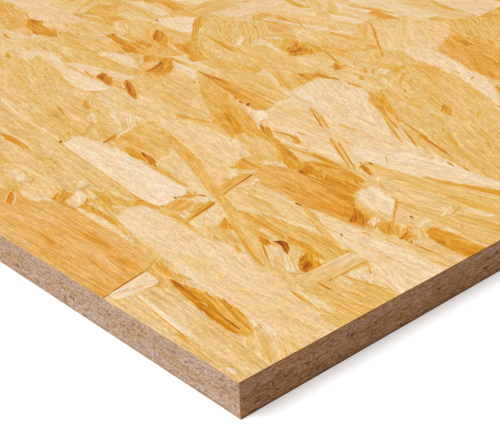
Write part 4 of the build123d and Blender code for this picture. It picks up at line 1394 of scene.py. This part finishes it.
def sawn_core(material):
    """The core: its side runs round the outline as a grid of stations by heights. A point lies inwards of
    the saw cut by a depth that is a sum of stretched noises, deepest in the open middle layers."""
    same_place = 1e-6
    stations, ends = edge_stations()
    x = np.interp(stations, ends, [high[0], high[0], low[0], low[0], high[0]])
    y = np.interp(stations, ends, [low[1], high[1], high[1], low[1], low[1]])
    heights = np.linspace(low[2] + CORE_COVER, high[2] - CORE_COVER, EDGE_ROWS)
    s, z = np.meshgrid(stations, heights, indexing="ij")
    depth, values = edge_looks(s, z, ends[-1])
    from_corner = np.abs(stations[:, None] - ends).min(1)
    away = np.minimum(from_corner, UPRIGHT_REACH)[:, None] / UPRIGHT_REACH
    depth = depth * away + UPRIGHT_DEPTH * (1 - away)
    side = np.searchsorted(ends[1:], stations, side="right") % 4
    at_corner = from_corner < same_place
    toward_x = np.where(at_corner, -np.sign(x), np.array([-1, 0, 1, 0])[side])
    toward_y = np.where(at_corner, -np.sign(y), np.array([0, -1, 0, 1])[side])
    points = np.stack([x[:, None] + toward_x[:, None] * depth, y[:, None] + toward_y[:, None] * depth, z], -1)
    count, rows = s.shape
    number = np.arange(count * rows).reshape(count, rows)
    ahead = np.roll(number, -1, 0)
    walls = np.stack([number[:, :-1], ahead[:, :-1], ahead[:, 1:], number[:, 1:]], -1).reshape(-1, 4)
    rims = [[Vector(point) for point in points[:, row].tolist()] for row in (-1, 0)]
    top_faces, bottom_faces = (np.array(tessellate_polygon([rim])) for rim in rims)
    lids = [number[:, -1][top_faces], number[:, 0][bottom_faces[:, ::-1]]]
    values["end_grain"] = np.isin(side, (0, 2))[:, None] * np.ones((1, rows))
    place = np.stack([s, z], -1) * MM
    return make_piece("pressed_core", points.reshape(-1, 3), [walls, *lids], material,
                      {"grain": place.reshape(-1, 2)}, values)


def panel():
    """The sheet: the strands of both faces, and the core with its sawn edges."""
    strands = strand_material(wood_grain_group(), timber_tone_group())
    cover_face("face_strands", FACE_SEED, strands)
    cover_face("underside_strands", UNDERSIDE_SEED, strands, underside=True)
    sawn_core(sawn_material(sawn_flecks_group()))


# The camera, fitted to the near corner and its two edges: where it stands from the corner's top, and its
# view in degrees.
CAMERA_BACK, CAMERA_IN, CAMERA_UP = -263.674, -217.695, 238.054
CAMERA_AZIMUTH, CAMERA_DOWN, CAMERA_ROLL = 40.7413, 26.0686, -2.5
CAMERA_LENS, CAMERA_SENSOR = 75.29, 36.0
NEAREST_SEEN, FARTHEST_SEEN = 10.0, 100000.0

SUN_STRENGTH, SUN_WIDTH = 2.62, 24
SUN_TOWARD = (-0.21, -0.60, 0.77)
SUN_HEIGHT = 2000.0
SKY_LIGHT, SKY_SEEN = 0.36, 1.0

FLOOR_RADIUS, FLOOR_SIDES, FLOOR_GAP = 40000.0, 64, 0.05
FLOOR_GREY, FLOOR_GREY_SEEN, FLOOR_GLOW_SEEN = 0.8, 0.62, 0.45


def add_camera():
    """Looks along (-cos down sin azimuth, cos down cos azimuth, -sin down), and rolls about that line."""
    azimuth, down, roll = (math.radians(a) for a in (CAMERA_AZIMUTH, CAMERA_DOWN, CAMERA_ROLL))
    ahead = Vector((-math.cos(azimuth) * math.cos(down), math.sin(azimuth) * math.cos(down), -math.sin(down)))
    right = ahead.cross(Vector((0, 0, 1))).normalized()
    up = right.cross(ahead)
    turned_right = right * math.cos(roll) + up * math.sin(roll)
    turned_up = up * math.cos(roll) - right * math.sin(roll)
    camera = bpy.data.objects.new("camera", bpy.data.cameras.new("camera"))
    camera.data.lens = CAMERA_LENS
    camera.data.sensor_width = CAMERA_SENSOR
    camera.data.clip_start, camera.data.clip_end = NEAREST_SEEN * MM, FARTHEST_SEEN * MM
    axes = Matrix((turned_right, turned_up, -ahead)).transposed()
    place = Vector((high[0] - CAMERA_BACK, low[1] + CAMERA_IN, high[2] + CAMERA_UP)) * MM
    camera.matrix_world = Matrix.Translation(place) @ axes.to_4x4()
    bpy.context.scene.collection.objects.link(camera)
    bpy.context.scene.camera = camera


def add_light():
    """A soft lamp from the front left, and a plain sky that the camera sees as white."""
    sun = bpy.data.objects.new("sun", bpy.data.lights.new("sun", "SUN"))
    sun.data.energy = SUN_STRENGTH
    sun.data.angle = math.radians(SUN_WIDTH)
    toward = Vector(SUN_TOWARD).normalized()
    turn = toward.to_track_quat("Z", "Y").to_matrix().to_4x4()
    sun.matrix_world = Matrix.Translation((0, 0, SUN_HEIGHT * MM)) @ turn
    bpy.context.scene.collection.objects.link(sun)
    world = bpy.data.worlds.new("studio")
    bpy.context.scene.world = world
    world.use_nodes = True
    net = Net(world.node_tree)
    back = world.node_tree.nodes["Background"]
    path = net.node("ShaderNodeLightPath").outputs
    seen = net.math("MAXIMUM", path["Is Camera Ray"], path["Is Transmission Ray"])
    net.feed(back.inputs["Strength"], net.spread(seen, 0.0, 1.0, SKY_LIGHT, SKY_SEEN))
    back.inputs["Color"].default_value = (1, 1, 1, 1)


def add_floor():
    """A wide pale disc just under the sheet. Its points: radius times cosine and sine of an even turn."""
    turn = np.linspace(0, 2 * np.pi, FLOOR_SIDES, endpoint=False)
    height = np.full(FLOOR_SIDES, low[2] - FLOOR_GAP)
    points = np.stack([FLOOR_RADIUS * np.cos(turn), FLOOR_RADIUS * np.sin(turn), height], -1)
    mesh = bpy.data.meshes.new("floor")
    mesh.from_pydata((points * MM).tolist(), [], [list(range(FLOOR_SIDES))])
    material, net, shader = new_material("pale_floor")
    seen = net.node("ShaderNodeLightPath").outputs["Is Camera Ray"]
    grey, grey_seen = ((shade, shade, shade, 1) for shade in (FLOOR_GREY, FLOOR_GREY_SEEN))
    net.feed(shader.inputs["Base Color"], net.mix(seen, grey, grey_seen))
    shader.inputs["Roughness"].default_value = 1.0
    shader.inputs["Specular IOR Level"].default_value = 0.0
    shader.inputs["Emission Color"].default_value = (1, 1, 1, 1)
    net.feed(shader.inputs["Emission Strength"], net.times(seen, FLOOR_GLOW_SEEN))
    mesh.materials.append(material)
    floor = bpy.data.objects.new("floor", mesh)
    bpy.context.scene.collection.objects.link(floor)


panel()
add_camera()
add_light()
add_floor()
bpy.context.scene.view_settings.view_transform = "Standard"
